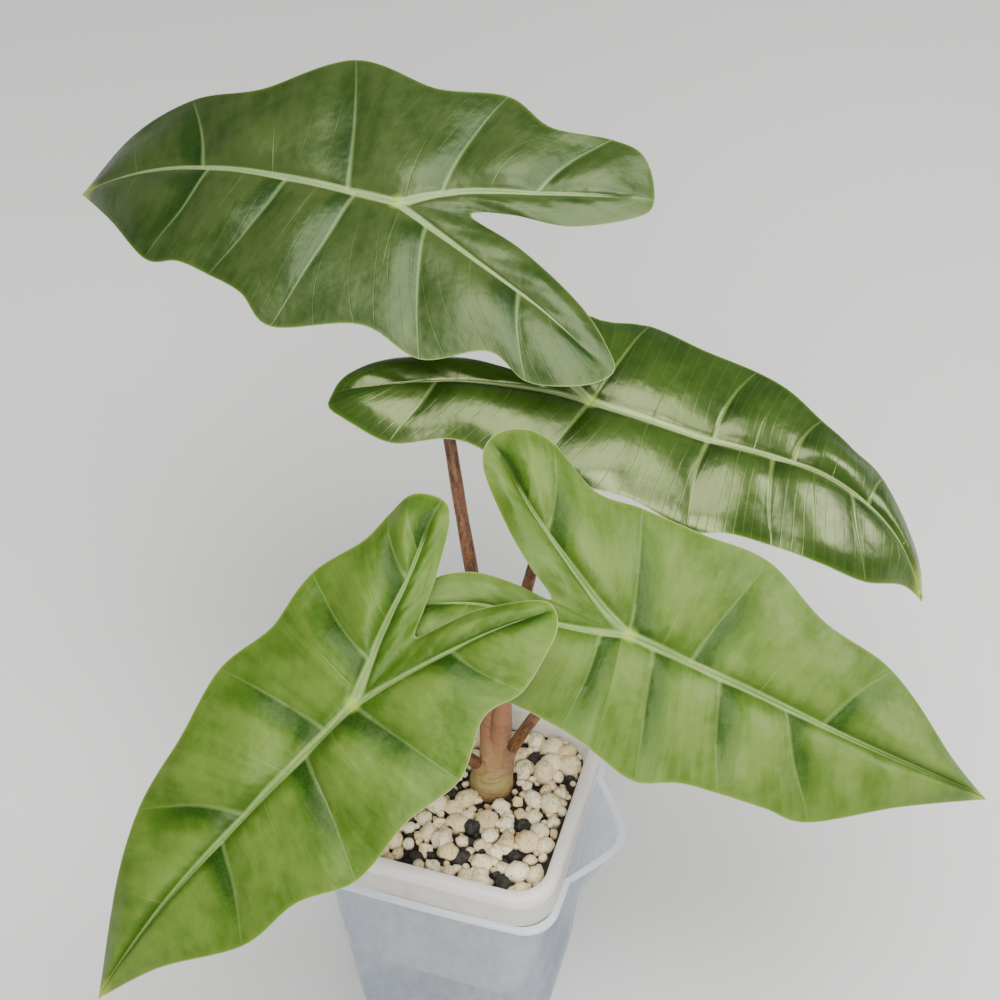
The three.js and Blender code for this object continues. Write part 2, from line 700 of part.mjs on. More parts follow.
const pot = new THREE.Group();
pot.add(named("outer_pot", outerPotGeometry(), MATERIALS.outerPlastic));
pot.add(named("inner_pot", innerPotGeometry(), MATERIALS.innerPlastic));
pot.add(named("potting_mix", pottingMixGeometry(), MATERIALS.mix));

const plant = new THREE.Group();
plant.add(named("stem_base", stemBaseGeometry(), MATERIALS.base));
for (const leaf of LEAVES) {
  plant.add(named(`petiole_${leaf.name}`, petioleGeometry(leaf), MATERIALS.stalk));
  plant.add(named(`blade_${leaf.name}`, bladeGeometry(leaf), MATERIALS.blade));
}

const part = new THREE.Group();
part.add(pot, plant);

export default part;
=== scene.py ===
import math

import bpy
import numpy as np
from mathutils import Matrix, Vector, noise


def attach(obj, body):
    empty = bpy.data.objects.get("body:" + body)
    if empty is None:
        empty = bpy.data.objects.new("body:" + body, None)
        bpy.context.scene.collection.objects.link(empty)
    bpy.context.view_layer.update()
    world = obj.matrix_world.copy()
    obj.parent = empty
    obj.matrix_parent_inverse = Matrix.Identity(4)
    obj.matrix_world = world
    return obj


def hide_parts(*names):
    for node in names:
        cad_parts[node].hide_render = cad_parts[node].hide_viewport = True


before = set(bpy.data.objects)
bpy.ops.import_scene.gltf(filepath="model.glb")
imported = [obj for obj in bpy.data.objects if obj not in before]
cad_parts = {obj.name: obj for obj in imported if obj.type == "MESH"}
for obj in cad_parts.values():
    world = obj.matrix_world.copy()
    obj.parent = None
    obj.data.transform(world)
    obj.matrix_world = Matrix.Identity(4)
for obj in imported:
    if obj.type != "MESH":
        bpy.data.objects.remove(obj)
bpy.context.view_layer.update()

MM = 0.001

POT_HEIGHT = 145
COLLAR_HALF, COLLAR_HEIGHT, COLLAR_RADIUS = 49, 18.7, 17
RIM_WIDTH, WALL, SEAT_GAP = 5, 1.3, 0.3
LIP_HALF, LIP_HEIGHT, LIP_OVERHANG = 50.4, 2.2, 1.4
SIDE_BOW = 1.2
OUTER_BASE_HALF, OUTER_RADIUS, OUTER_FLOOR = 41, 14, 1.8
LIP_TOP = POT_HEIGHT - COLLAR_HEIGHT - SEAT_GAP
SPOUT_REACH, SPOUT_HALF, SPOUT_CENTRE, SPOUT_ROUND, SPOUT_DEPTH = 17, 27, 6, 8, 50
SPOUT_DRAW_IN, SPOUT_PARTS = 0.06, 72
BODY_FLOOR, BODY_FLOOR_HALF, BODY_RADIUS = 47, 36, COLLAR_RADIUS - 3
FOOT_HALF, FOOT_BOTTOM, FOOT_RADIUS = 12, OUTER_FLOOR + 2.2, 3
SLOT_WIDTH, SLOT_HEIGHT = 3, 22

MIX_LEVEL = POT_HEIGHT - 11.5
GRANULE_PITCH, GRANULE_RADIUS, GRANULE_SEED = 7.6, (2.7, 5.2), 71
DARK_SHARE = 0.15

BASE = np.array([7.5, 11, MIX_LEVEL])
BASE_RADIUS, BASE_DEPTH = 9.3, 13
HOLE_RADIUS = BASE_RADIUS + 0.6
SHEATH_LENGTH = {"top": 44, "back": 50, "front": 20, "right": 26}
SHEATH_THICKNESS, SHEATH_SWELL = 1.1, 1.2

TISSUE, NERVE = 0.5, 0.35
KEEL, LOBE_KEEL = 1.9, 1.3
THICKEST = TISSUE + KEEL + NERVE
PUFF, INNER_PUFF, MARGIN_WAVE, BULGE = 2.5, 1.6, 1.1, 1.9
LUMP, LUMPS_PER_MM = 2.0, 0.04
VEIN_ARCH = 0.06

# Each leaf in its flat plan: u runs from the joint to the tip, v to the left. Edge points carry a station,
# 0 at the lobe's rib end, 1 at the joint and 2 at the tip; every second one ends a side vein.
LEAVES = {
    "top": dict(
        joint=(-72, 141, 328), turn=(174, 0, -22),
        bend=dict(droop=13, tip_droop=21, tip_from=62, lobe_droop=8, cup=5, fold=0.03),
        curl=(0.5, 0.0), quilt=1.0,
        sinus=(-31, -4), midrib=[(50, 0), (112, 1)], tip=(169, 5),
        stalk=[(7, 13, 152), (-2, 36, 179), (-15, 58, 209), (-25, 74, 231), (-34, 89, 252),
               (-47, 109, 285)],
        stalk_radius=(3.3, 2.1),
        left=dict(
            rib=[(-91, 35), (-71, 26), (-40, 15)], lobe=(-108, 42),
            inner=[(-103, 33), (-86, 19), (-56, 4)],
            edge=[(-97, 53, 0.13), (-78, 57, 0.32), (-60, 51, 0.56), (-35, 62, 0.83), (-7, 56, 1),
                  (29, 66, 1.11), (47, 56, 1.2), (66, 50, 1.3), (83, 47, 1.42), (102, 46, 1.53),
                  (134, 26, 1.8)],
        ),
        right=dict(
            rib=[(-87, -32), (-55, -22), (-22, -12)], lobe=(-98, -35),
            inner=[(-94, -25), (-71, -12), (-47, -9)],
            edge=[(-89, -51, 0.16), (-73, -56, 0.38), (-48, -52, 0.62), (-25, -62, 0.8), (4, -56, 1),
                  (46, -63, 1.13), (82, -41, 1.36), (120, -37, 1.55), (151, -20, 1.8)],
        ),
    ),
    "back": dict(
        joint=(22, 101, 279), turn=(3, 8, 12),
        bend=dict(droop=12, tip_droop=40, tip_from=80, lobe_droop=10, cup=30, fold=0.04),
        curl=(0.1, 1.8), quilt=1.0,
        sinus=(-29, 7), midrib=[(46, -1), (100, 4), (132, -1)], tip=(153, -17),
        stalk=[(10, 14, 152), (10, 25, 188), (12, 41, 219), (14, 52, 236), (19, 84, 264)],
        stalk_radius=(3, 2),
        left=dict(
            rib=[(-77, 30), (-52, 25), (-24, 14)], lobe=(-90, 33),
            inner=[(-86, 25), (-67, 17), (-47, 13)],
            edge=[(-82, 43, 0.14), (-66, 46, 0.34), (-48, 41, 0.58), (-24, 46, 0.82), (-5, 43, 0.94),
                  (14, 49, 1), (38, 43, 1.17), (62, 43, 1.32), (76, 38, 1.42), (93, 31, 1.53),
                  (108, 24, 1.66), (124, 20, 1.75), (146, -1, 1.91)],
        ),
        right=dict(
            rib=[(-88, -16), (-56, -6), (-22, -1)], lobe=(-102, -20),
            inner=[(-98, -10), (-83, 1), (-54, 8)],
            edge=[(-99, -29, 0.08), (-73, -37, 0.3), (-47, -31, 0.56), (-14, -38, 1), (22, -36, 1.14),
                  (50, -40, 1.31), (66, -37, 1.39), (84, -34, 1.48), (105, -33, 1.59), (126, -28, 1.7),
                  (143, -18, 1.88)],
        ),
    ),
    "front": dict(
        joint=(-28, -46, 244), turn=(235, 30, -8),
        bend=dict(droop=6, tip_droop=8, tip_from=70, lobe_droop=7, cup=5, fold=0.08),
        curl=(0.5, 0.5), quilt=1.45,
        sinus=(-34, -1), midrib=[(50, -2), (100, -4)], tip=(149, -3),
        stalk=[(4, 7, 149), (-4, -4, 172), (-14, -20, 205), (-24, -36, 228)],
        stalk_radius=(2.9, 2),
        left=dict(
            rib=[(-70, 28), (-52, 19), (-21, 7)], lobe=(-77, 31),
            inner=[(-74, 23), (-58, 10), (-45, 4)],
            edge=[(-69, 40, 0.14), (-48, 45, 0.44), (-31, 42, 0.72), (-9, 51, 1), (15, 48, 1.08),
                  (43, 48, 1.17), (65, 37, 1.32), (91, 31, 1.47), (122, 10, 1.78)],
        ),
        right=dict(
            rib=[(-67, -28), (-50, -20), (-21, -9)], lobe=(-78, -33),
            inner=[(-74, -24), (-57, -13), (-43, -6)],
            edge=[(-72, -42, 0.14), (-60, -44, 0.3), (-46, -43, 0.52), (-24, -50, 0.76), (0, -46, 1),
                  (27, -51, 1.09), (56, -43, 1.24), (87, -38, 1.38), (121, -20, 1.75)],
        ),
    ),
    "right": dict(
        joint=(61, 17, 243), turn=(4, 22, 26),
        bend=dict(droop=8, tip_droop=8, tip_from=70, lobe_droop=8, cup=5, fold=0.06),
        curl=(0.5, 0.5), quilt=1.35,
        sinus=(-33, 1), midrib=[(50, 0), (110, 1)], tip=(171, 7),
        stalk=[(13, 13, 150), (18, 13, 165), (28, 14, 190), (44, 19, 220)],
        stalk_radius=(2.8, 2),
        left=dict(
            rib=[(-65, 40), (-50, 28), (-18, 8)], lobe=(-78, 50),
            inner=[(-76, 38), (-60, 21), (-46, 10)],
            edge=[(-70, 58, 0.12), (-55, 59, 0.34), (-33, 47, 0.66), (-13, 49, 1), (14, 49, 1.06),
                  (43, 51, 1.15), (73, 38, 1.32), (108, 34, 1.5), (146, 15, 1.8)],
        ),
        right=dict(
            rib=[(-76, -20), (-57, -12), (-25, -7)], lobe=(-84, -24),
            inner=[(-77, -9), (-64, -1), (-48, 1)],
            edge=[(-78, -39, 0.12), (-57, -48, 0.4), (-37, -43, 0.64), (-12, -44, 0.86), (5, -48, 1),
                  (22, -51, 1.06), (38, -45, 1.15), (54, -42, 1.23), (74, -40, 1.32), (94, -37, 1.4),
                  (130, -15, 1.72)],
        ),
    ),
}


class Value:
    """A shader socket that Python arithmetic works on."""

    def __init__(self, finish, socket):
        self.finish = finish
        self.socket = socket

    def math(self, operation, *others):
        return self.finish.node("Math", {"operation": operation}, dict(enumerate((self, *others))))

    def output(self, index):
        return Value(self.finish, self.socket.node.outputs[index])

    def past_whole(self):
        """How far it is past the nearest whole number, from -0.5 to 0.5."""
        return self - self.math("ROUND")

    def __add__(self, other):
        return self.math("ADD", other)

    def __sub__(self, other):
        return self.math("SUBTRACT", other)

    def __rsub__(self, other):
        return self.math("MULTIPLY_ADD", -1.0, other)

    def __mul__(self, other):
        return self.math("MULTIPLY", other)

    def __truediv__(self, other):
        return self.math("DIVIDE", other)

    def __pow__(self, power):
        return self.math("POWER", power)

    def __abs__(self):
        return self.math("ABSOLUTE")

    __radd__ = __add__
    __rmul__ = __mul__


class Finish:
    """A material being made. `node` adds any node and gives back its first output."""

    def __init__(self, name):
        self.material = bpy.data.materials.new(name)
        self.material.use_nodes = True
        self.tree = self.material.node_tree
        self.tree.nodes.clear()

    def node(self, kind, settings=None, sockets=None):
        made = self.tree.nodes.new("ShaderNode" + kind)
        for key, value in (settings or {}).items():
            setattr(made, key, value)
        for key, value in (sockets or {}).items():
            socket = made.inputs[key]
            if isinstance(value, Value):
                self.tree.links.new(value.socket, socket)
            elif socket.type == "RGBA" and len(value) == 3:
                socket.default_value = (*value, 1.0)
            else:
                socket.default_value = value
        return Value(self, made.outputs[0]) if made.outputs else None

    def pair(self, title):
        """The two numbers of one of the piece's own maps."""
        both = self.node("SeparateXYZ", None, {0: self.node("UVMap", {"uv_map": title})})
        return both, both.output(1)

    def place(self):
        """Object coordinates in millimetres."""
        spot = self.node("TexCoord").output(3)
        return self.node("VectorMath", {"operation": "SCALE"}, {0: spot, "Scale": 1000.0})

    def height(self, spot):
        return self.node("SeparateXYZ", None, {0: spot}).output(2)

    def stretched(self, spot, x, y, z):
        return self.node("VectorMath", {"operation": "MULTIPLY"}, {0: spot, 1: (x, y, z)})

    def vector(self, x, y, z=0.0):
        return self.node("CombineXYZ", None, {0: x, 1: y, 2: z})

    def noise(self, at, scale, detail=3.0, roughness=0.5, distortion=0.0):
        return self.node("TexNoise", None, {"Vector": at, "Scale": scale, "Detail": detail,
                                            "Roughness": roughness, "Distortion": distortion})

    def cells(self, at, scale, feature="DISTANCE_TO_EDGE"):
        return self.node("TexVoronoi", {"feature": feature}, {"Vector": at, "Scale": scale})

    def rise(self, value, low, high):
        """0 below `low`, 1 above `high` and a smooth rise between."""
        return self.node("MapRange", {"interpolation_type": "SMOOTHSTEP"},
                         {"Value": value, "From Min": low, "From Max": high})

    def blend(self, share, first, second):
        return self.node("Mix", {"data_type": "RGBA"}, {0: share, 6: first, 7: second}).output(2)

    def bump(self, height):
        return self.node("Bump", None, {"Strength": 1.0, "Distance": MM, "Height": height})

    def layers(self, colour, layers):
        """Lays colours over a first one, each by its share."""
        for share, over in layers:
            colour = self.blend(share, colour, over)
        return colour

    def surface(self, body, rough, height=None, **others):
        sockets = {"Base Color": body, "Roughness": rough, **others}
        if height:
            sockets["Normal"] = self.bump(height)
        self.node("OutputMaterial", None, {"Surface": self.node("BsdfPrincipled", None, sockets)})
        return self.material


def only(*pieces):
    """Selects these pieces and nothing else; the first is the active one."""
    bpy.ops.object.select_all(action="DESELECT")
    for piece in pieces:
        piece.select_set(True)
    bpy.context.view_layer.objects.active = pieces[0]


def added(operator, **settings):
    """Adds a basic shape on its own and gives it back."""
    bpy.ops.object.select_all(action="DESELECT")
    operator(**settings)
    return bpy.context.object


def placed(name, data):
    holder = bpy.data.objects.new(name, data)
    bpy.context.collection.objects.link(holder)
    return holder


def corner_places(mesh):
    flat = np.empty(len(mesh.vertices) * 3)
    mesh.vertices.foreach_get("co", flat)
    return flat.reshape(-1, 3)


def weld(piece, outward=True):
    """Merges corners that lie on one another, and turns the faces of a closed piece outwards."""
    only(piece)
    bpy.ops.object.mode_set(mode="EDIT")
    bpy.ops.mesh.select_all(action="SELECT")
    bpy.ops.mesh.remove_doubles(threshold=3e-6)
    if outward:
        bpy.ops.mesh.normals_make_consistent(inside=False)
    bpy.ops.object.mode_set(mode="OBJECT")


def joined(pieces, name):
    only(*pieces)
    if len(pieces) > 1:
        bpy.ops.object.join()
    pieces[0].name = name
    pieces[0].data.name = name
    return pieces[0]


def smooth(piece, degrees=40):
    only(piece)
    bpy.ops.object.shade_smooth_by_angle(angle=math.radians(degrees))


def modified(piece, kind, **settings):
    """Adds a modifier to a piece and applies it."""
    only(piece)
    modifier = piece.modifiers.new(kind.lower(), kind)
    for key, value in settings.items():
        setattr(modifier, key, value)
    bpy.ops.object.modifier_apply(modifier=modifier.name)


def finished(piece, node, slot, *materials):
    """Gives a piece its materials and its place in the part."""
    piece.data.materials.clear()
    for material in materials:
        piece.data.materials.append(material)
    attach(piece, "root")
    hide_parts(node)


def laid_grid(name, points, maps=None, weights=None):
    """A grid whose corners are laid at `points`, rows x columns x 3; `maps` are its own UV maps by name."""
    rows, columns = points.shape[:2]
    piece = added(bpy.ops.mesh.primitive_grid_add, x_subdivisions=rows - 1, y_subdivisions=columns - 1,
                  size=2, calc_uvs=False)
    piece.name = name
    mesh = piece.data
    flat = corner_places(mesh)
    row = np.rint((flat[:, 0] + 1) / 2 * (rows - 1)).astype(int)
    column = np.rint((flat[:, 1] + 1) / 2 * (columns - 1)).astype(int)
    mesh.vertices.foreach_set("co", (points[row, column] * MM).ravel())
    corner = np.empty(len(mesh.loops), int)
    mesh.loops.foreach_get("vertex_index", corner)
    for title, values in (maps or {}).items():
        layer = mesh.uv_layers.new(name=title)
        layer.data.foreach_set("uv", values[row[corner], column[corner]].ravel())
    if weights is not None:
        group = piece.vertex_groups.new(name="thickness")
        for index, weight in enumerate(weights[row, column]):
            group.add([index], float(weight), "REPLACE")
    mesh.update()
    return piece


def spline(points, shares, ahead=None, beyond=None):
    """A smooth plan curve through `points`, at shares of its spans. It leaves its ends as if it had come
    from `ahead` and ran on to `beyond`."""
    marks = np.asarray(points, float)
    last = len(marks) - 1
    spot = np.clip(np.asarray(shares, float), 0, 1) * last
    span = np.minimum(spot.astype(int), last - 1)
    t = (spot - span)[..., None]
    ahead = marks[0] if ahead is None else ahead
    beyond = marks[-1] if beyond is None else beyond
    padded = np.vstack([ahead, marks, beyond])
    before, start, end, after = (padded[span + k] for k in range(4))
    leave, arrive = (end - before) / 2, (after - start) / 2
    cubic = 2 * start - 2 * end + leave + arrive
    square = 3 * end - 3 * start - 2 * leave - arrive
    return cubic * t**3 + square * t**2 + leave * t + start


def run_lengths(points):
    return np.append(0, np.cumsum(np.linalg.norm(np.diff(points, axis=0), axis=1)))


def even_spline(points, shares, ahead=None, beyond=None):
    """The same curve at shares of its length."""
    steps = np.linspace(0, 1, 201)
    length = run_lengths(spline(points, steps, ahead, beyond))
    return spline(points, np.interp(np.asarray(shares) * length[-1], length, steps), ahead, beyond)


def space_curve(points, count=400):
    """A centripetal curve through points in space, at `count` even spans of its points."""
    marks = np.asarray(points, float)
    marks = np.vstack([2 * marks[0] - marks[1], marks, 2 * marks[-1] - marks[-2]])
    made = []
    for place in np.linspace(0, len(points) - 1, count):
        i = min(int(place), len(points) - 2)
        t = place - i
        x0, x1, x2, x3 = marks[i:i + 4]
        d0, d1, d2 = (math.sqrt(np.linalg.norm(b - a)) for a, b in ((x0, x1), (x1, x2), (x2, x3)))
        leave = ((x1 - x0) / d0 - (x2 - x0) / (d0 + d1) + (x2 - x1) / d1) * d1
        arrive = ((x2 - x1) / d1 - (x3 - x1) / (d1 + d2) + (x3 - x2) / d2) * d1
        square = 3 * x2 - 3 * x1 - 2 * leave - arrive
        cubic = 2 * x1 - 2 * x2 + leave + arrive
        made.append(x1 + leave * t + square * t**2 + cubic * t**3)
    return np.array(made)


def tube(name, centres, radii, sides=28):
    """A round tube with closed ends; its map holds the centimetres along it and the turn round it."""
    steps = np.gradient(centres, axis=0)
    steps /= np.linalg.norm(steps, axis=1)[:, None]
    side = np.cross(steps[0], (0, 1, 0))
    rings = []
    angles = np.linspace(0, 2 * math.pi, sides + 1)
    for centre, step, radius in zip(centres, steps, radii):
        side = side - step * side.dot(step)
        side /= np.linalg.norm(side)
        other = np.cross(step, side)
        ring = np.outer(np.cos(angles), side) + np.outer(np.sin(angles), other)
        rings.append(centre + ring * radius)
    rings = [np.tile(centres[0], (sides + 1, 1)), *rings, np.tile(centres[-1], (sides + 1, 1))]
    along = run_lengths(centres) / 10
    along = np.concatenate([along[:1], along, along[-1:]])
    turn = np.linspace(0, 1, sides + 1)
    along_and_turn = np.stack(np.meshgrid(along, turn, indexing="ij"), -1)
    piece = laid_grid(name, np.array(rings), {"stalk": along_and_turn})
    weld(piece)
    return piece


def leaf_axes(leaf):
    """Directions along the midrib, to the left and up from the blade."""
    heading, pitch, roll = (math.radians(angle) for angle in leaf["turn"])
    ahead = np.array([math.cos(heading), math.sin(heading), 0])
    along = ahead * math.cos(pitch) - np.array([0, 0, math.sin(pitch)])
    level = np.array([-math.sin(heading), math.cos(heading), 0])
    left = level * math.cos(roll) + np.cross(along, level) * math.sin(roll)
    return along, left, np.cross(along, left)


def bent_height(leaf, plan):
    """Height of the bent surface over its plan: drooping ends, falling sides, a fold at the midrib."""
    bend = leaf["bend"]
    u, v = plan[..., 0] / 100, plan[..., 1] / 100
    ahead = bend["droop"] * u**2 + bend["tip_droop"] * np.maximum(u - bend["tip_from"] / 100, 0) ** 2
    fall = np.where(u > 0, ahead, bend["lobe_droop"] * u**2)
    midrib = even_spline([(0, 0), *leaf["midrib"], leaf["tip"]], np.linspace(0, 1, 40))
    off_rib = np.abs(plan[..., 1] - np.interp(plan[..., 0], midrib[:, 0], midrib[:, 1], left=0))
    return -fall - bend["cup"] * v**2 + bend["fold"] * off_rib


def side_veins(half):
    return [0.0, *(mark[2] for mark in half["edge"][1::2]), 2.0]


def row_stations(low, high, vein_lists):
    """Stations for rows: one on each side vein and midway between two, and closer near the joint."""
    marks = {low, high}
    for veins in vein_lists:
        marks.update(veins)
        marks.update((a + b) / 2 for a, b in zip(veins, veins[1:]))
    marks = sorted(mark for mark in marks if low <= mark <= high)
    stations = [marks[0]]
    for a, b in zip(marks, marks[1:]):
        gap = 0.024 if b <= 1 else 0.010 if a < 1.35 else 0.017
        count = max(1, math.ceil((b - a) / gap))
        stations += [a + (b - a) * (k + 1) / count for k in range(count)]
    return np.array(stations)


def rib_points(leaf, half, stations):
    lobe_rib = even_spline([*half["rib"], (0, 0)], np.minimum(stations, 1))
    midrib = even_spline([(0, 0), *leaf["midrib"], leaf["tip"]], np.maximum(stations - 1, 0))
    return np.where((stations < 1)[:, None], lobe_rib, midrib)


ACROSS = np.append(np.linspace(0, 1, 30)[:-1] ** 1.45, (0.97, 0.988, 1.0))


def arch(share):
    return np.sin(math.pi * share)


def outer_patch(leaf, half, stations):
    """Plan, relief and vein phase from the ribs to the outer margin."""
    marks = [(*half["lobe"], 0), *half["edge"], (*leaf["tip"], 2)]
    shares = np.interp(stations, [mark[2] for mark in marks], np.linspace(0, 1, len(marks)))
    start = rib_points(leaf, half, stations)
    end = spline([mark[:2] for mark in marks], shares, ahead=half["inner"][0])
    veins = side_veins(half)
    phase = np.interp(stations, veins, np.arange(len(veins)))
    t = ACROSS[None, :]
    plan = start[:, None] + (end - start)[:, None] * t[..., None]
    width = np.linalg.norm(end - start, axis=1)[:, None]
    plan[..., 0] -= VEIN_ARCH * width * arch(t) * arch(stations[:, None] - 1)
    full = np.abs(arch(phase))[:, None]
    calm = np.minimum(1, 2 * (2 - stations))[:, None]
    crease = np.exp(-((phase[:, None] - np.floor(phase[:, None]) - 0.5) * 9) ** 2)
    relief = (PUFF * leaf["quilt"] * full**0.7 - 0.3 * crease * calm) * arch(t**0.7)
    swelling = np.minimum(1, np.minimum(4 * (2 - stations), 3 * stations))
    relief += BULGE * arch(t**0.65) * swelling[:, None]
    relief += MARGIN_WAVE * (2 * full**2 - 1) * t**3 * calm
    return plan, relief, phase


def inner_patch(leaf, half, other, stations):
    """Plan, relief and vein phase from a lobe's rib to its inner margin."""
    start = rib_points(leaf, half, stations)
    margin = [half["lobe"], *half["inner"], leaf["sinus"]]
    end = even_spline(margin, stations, ahead=half["edge"][0][:2], beyond=other["inner"][-1])
    t = ACROSS[None, :]
    plan = start[:, None] + (end - start)[:, None] * t[..., None]
    phase = stations * 5
    s = stations[:, None]
    ends = np.clip(s * 6, 0, 1) * np.clip((1 - s) * 6, 0, 1)
    relief = INNER_PUFF * arch(s) * arch(t)
    relief += 0.45 * np.abs(arch(phase))[:, None] * arch(t**0.8) * ends
    relief -= MARGIN_WAVE * t**3 * np.clip(1 - s * 8, 0, 1)
    return plan, relief, phase


def line_gap(points, line):
    """Distance of each plan point from a line of plan points."""
    start, step = line[:-1], np.diff(line, axis=0)
    reach = points[..., None, :] - start
    share = np.clip((reach * step).sum(-1) / np.maximum((step**2).sum(-1), 1e-9), 0, 1)
    return np.sqrt(((reach - share[..., None] * step) ** 2).sum(-1).min(-1))


def blade(title, leaf):
    """The upper surface as four patches that share the ribs, then the thickness with keels below."""
    along, left, up = leaf_axes(leaf)
    halves = [leaf["left"], leaf["right"]]
    midrib_rows = row_stations(1.0, 2.0, [side_veins(half) for half in halves])
    patches = []
    for half, other, outer_turns in zip(halves, halves[::-1], (False, True)):
        lobe_rows = row_stations(0.0, 1.0, [side_veins(half)])
        rows = np.append(lobe_rows, midrib_rows[1:])
        patches.append((rows, *outer_patch(leaf, half, rows), outer_turns, half, True))
        inner = inner_patch(leaf, half, other, lobe_rows)
        patches.append((lobe_rows, *inner, not outer_turns, half, False))
    pieces = []
    rib_stations = np.append(np.linspace(0, 1, 60), np.linspace(1.001, 2, 90))
    for rows, plan, relief, phase, turns, half, veined in patches:
        rib_line = rib_points(leaf, half, rib_stations)
        rib_line = np.vstack([half["lobe"], rib_line])
        rib_gap = line_gap(plan, rib_line)
        margin_gap = np.linalg.norm(plan - plan[:, -1:], axis=-1)
        lobe_side = 0.4 + 1.3 * np.minimum(rows, 1) ** 1.5
        midrib_side = 0.2 + 1.7 * np.maximum(2 - rows, 0) ** 0.85
        rib_share = rib_gap / np.where(rows < 1, lobe_side, midrib_side)[:, None]
        ridge = 0.35 * np.exp(-((rib_gap / 0.9) ** 2)) - 0.3 * np.exp(-(((rib_share - 1.1) / 0.45) ** 2))
        fade = np.clip((1 - np.abs(rows - 1)) * 5, 0, 1)[:, None]
        span = np.gradient(plan, phase, axis=0)
        across = np.gradient(plan, ACROSS, axis=1)
        across /= np.maximum(np.linalg.norm(across, axis=-1), 1e-6)[..., None]
        spacing = np.abs(span[..., 0] * across[..., 1] - span[..., 1] * across[..., 0]) / 10
        spots = ((u, v, leaf["joint"][2]) for u, v in plan.reshape(-1, 2) * LUMPS_PER_MM)
        lumps = np.array([noise.noise(Vector(spot)) for spot in spots]).reshape(plan.shape[:2])
        lumps *= LUMP * leaf["quilt"] * np.minimum(rib_gap / 6, 1) * np.clip(margin_gap / 8, 0.15, 1)
        roll = leaf["curl"][half is leaf["right"]] * np.clip(1 - margin_gap / 9, 0, 1) ** 2
        height = bent_height(leaf, plan) + relief + ridge * fade + lumps - roll
        points = leaf["joint"] + plan[..., :1] * along + plan[..., 1:] * left + height[..., None] * up
        keel = np.where(rows < 1, LOBE_KEEL + (KEEL - LOBE_KEEL) * rows, KEEL * (2.05 - rows))[:, None]
        nerve = NERVE * (np.abs(phase - np.rint(phase)) < 1e-6)[:, None] * (1 - ACROSS) ** 0.5
        thickness = TISSUE + keel * np.exp(-((rib_share / 0.85) ** 2)) + nerve
        strength = spacing if veined else np.full(spacing.shape, 4.0)
        shown = phase[:, None] if veined else 0.25
        maps = {
            "plan": plan / 10,
            "vein": np.stack([np.broadcast_to(shown, spacing.shape), strength], -1),
            "edge": np.stack([rib_share, margin_gap / 10], -1),
            "across": np.stack(np.broadcast_arrays(ACROSS[None, :], rows[:, None] / 2), -1),
        }
        order = slice(None, None, -1) if turns else slice(None)
        maps = {key: value[:, order] for key, value in maps.items()}
        weights = (thickness / THICKEST)[:, order]
        pieces.append(laid_grid("blade_" + title, points[:, order], maps, weights))
    piece = joined(pieces, "blade_of_" + title)
    weld(piece, outward=False)
    piece.data.materials.append(None)
    piece.data.materials.append(None)
    modified(piece, "SOLIDIFY", thickness=THICKEST * MM, offset=-1, vertex_group="thickness",
             thickness_vertex_group=0.0, material_offset=1, material_offset_rim=0)
    piece.vertex_groups.clear()
    smooth(piece, 50)
    return piece


def stalk_curve(leaf):
    """The stalk's whole course, from inside the swollen base to just under the blade's joint."""
    up = leaf_axes(leaf)[2]
    joint = np.array(leaf["joint"], float)
    under = 0.45 + KEEL + SEAT_GAP
    first = np.array([leaf["stalk"][0][0], leaf["stalk"][0][1], MIX_LEVEL - 4])
    foot = first + (BASE - first) * 0.4
    return space_curve([foot, *leaf["stalk"], joint - up * (under + 9), joint - up * under])


def stalk_stretch(leaf, low, high, count):
    """Middle points and bare radii of a stretch of the stalk, by length from its foot."""
    curve = stalk_curve(leaf)
    length = run_lengths(curve)
    marks = np.linspace(low, min(high, length[-1]), count)
    centres = np.stack([np.interp(marks, length, curve[:, k]) for k in range(3)], -1)
    thin, thick = leaf["stalk_radius"][1], leaf["stalk_radius"][0]
    return centres, thick + (thin - thick) * marks / length[-1], marks, length[-1]


def petiole(title, leaf):
    start = SHEATH_LENGTH[title] - 2
    centres, radii, marks, length = stalk_stretch(leaf, start, 1e6, 110)
    flare = 1 + 0.35 * np.clip(1 - (length - marks) / 9, 0, 1) ** 2
    uneven = [1 + 0.05 * noise.noise(Vector((mark * 0.07, leaf["joint"][2], 0))) for mark in marks]
    up = leaf_axes(leaf)[2]
    centres = np.vstack([centres, centres[-1] + up * 1.5])
    radii = np.append(radii * flare * uneven, radii[-1] * 1.1)
    piece = tube("petiole_of_" + title, centres, radii)
    smooth(piece, 60)
    return piece


def plant_base():
    """Swollen stem and the old sheaths that wrap the stalks, melted into one body."""
    height = np.array([-13, -12, -9, -6, -3, 0, 2, 4, 6.5, 9, 12, 15, 17.5, 19])
    share = np.array([0.05, 0.5, 0.7, 0.84, 0.95, 1, 1.01, 0.99, 0.93, 0.86, 0.74, 0.58, 0.38, 0.08])
    fine = np.linspace(-13, 19, 60)
    centres = np.stack([np.full(60, BASE[0]), np.full(60, BASE[1]), BASE[2] + fine], -1)
    pieces = [tube("bulb", centres, np.interp(fine, height, share) * BASE_RADIUS, 48)]
    for title, leaf in LEAVES.items():
        end = SHEATH_LENGTH[title] + 4
        centres, radii, marks, _ = stalk_stretch(leaf, 0.5, end, 60)
        sheath = SHEATH_THICKNESS * (1 + SHEATH_SWELL * (1 - marks / end))
        sheath *= np.clip((end - marks) / 14, 0.12, 1)
        pieces.append(tube("sheath", centres, radii + sheath, 28))
    piece = joined(pieces, "swollen_base")
    modified(piece, "REMESH", mode="VOXEL", voxel_size=0.5 * MM)
    modified(piece, "SMOOTH", factor=0.6, iterations=6)
    smooth(piece, 60)
    return piece


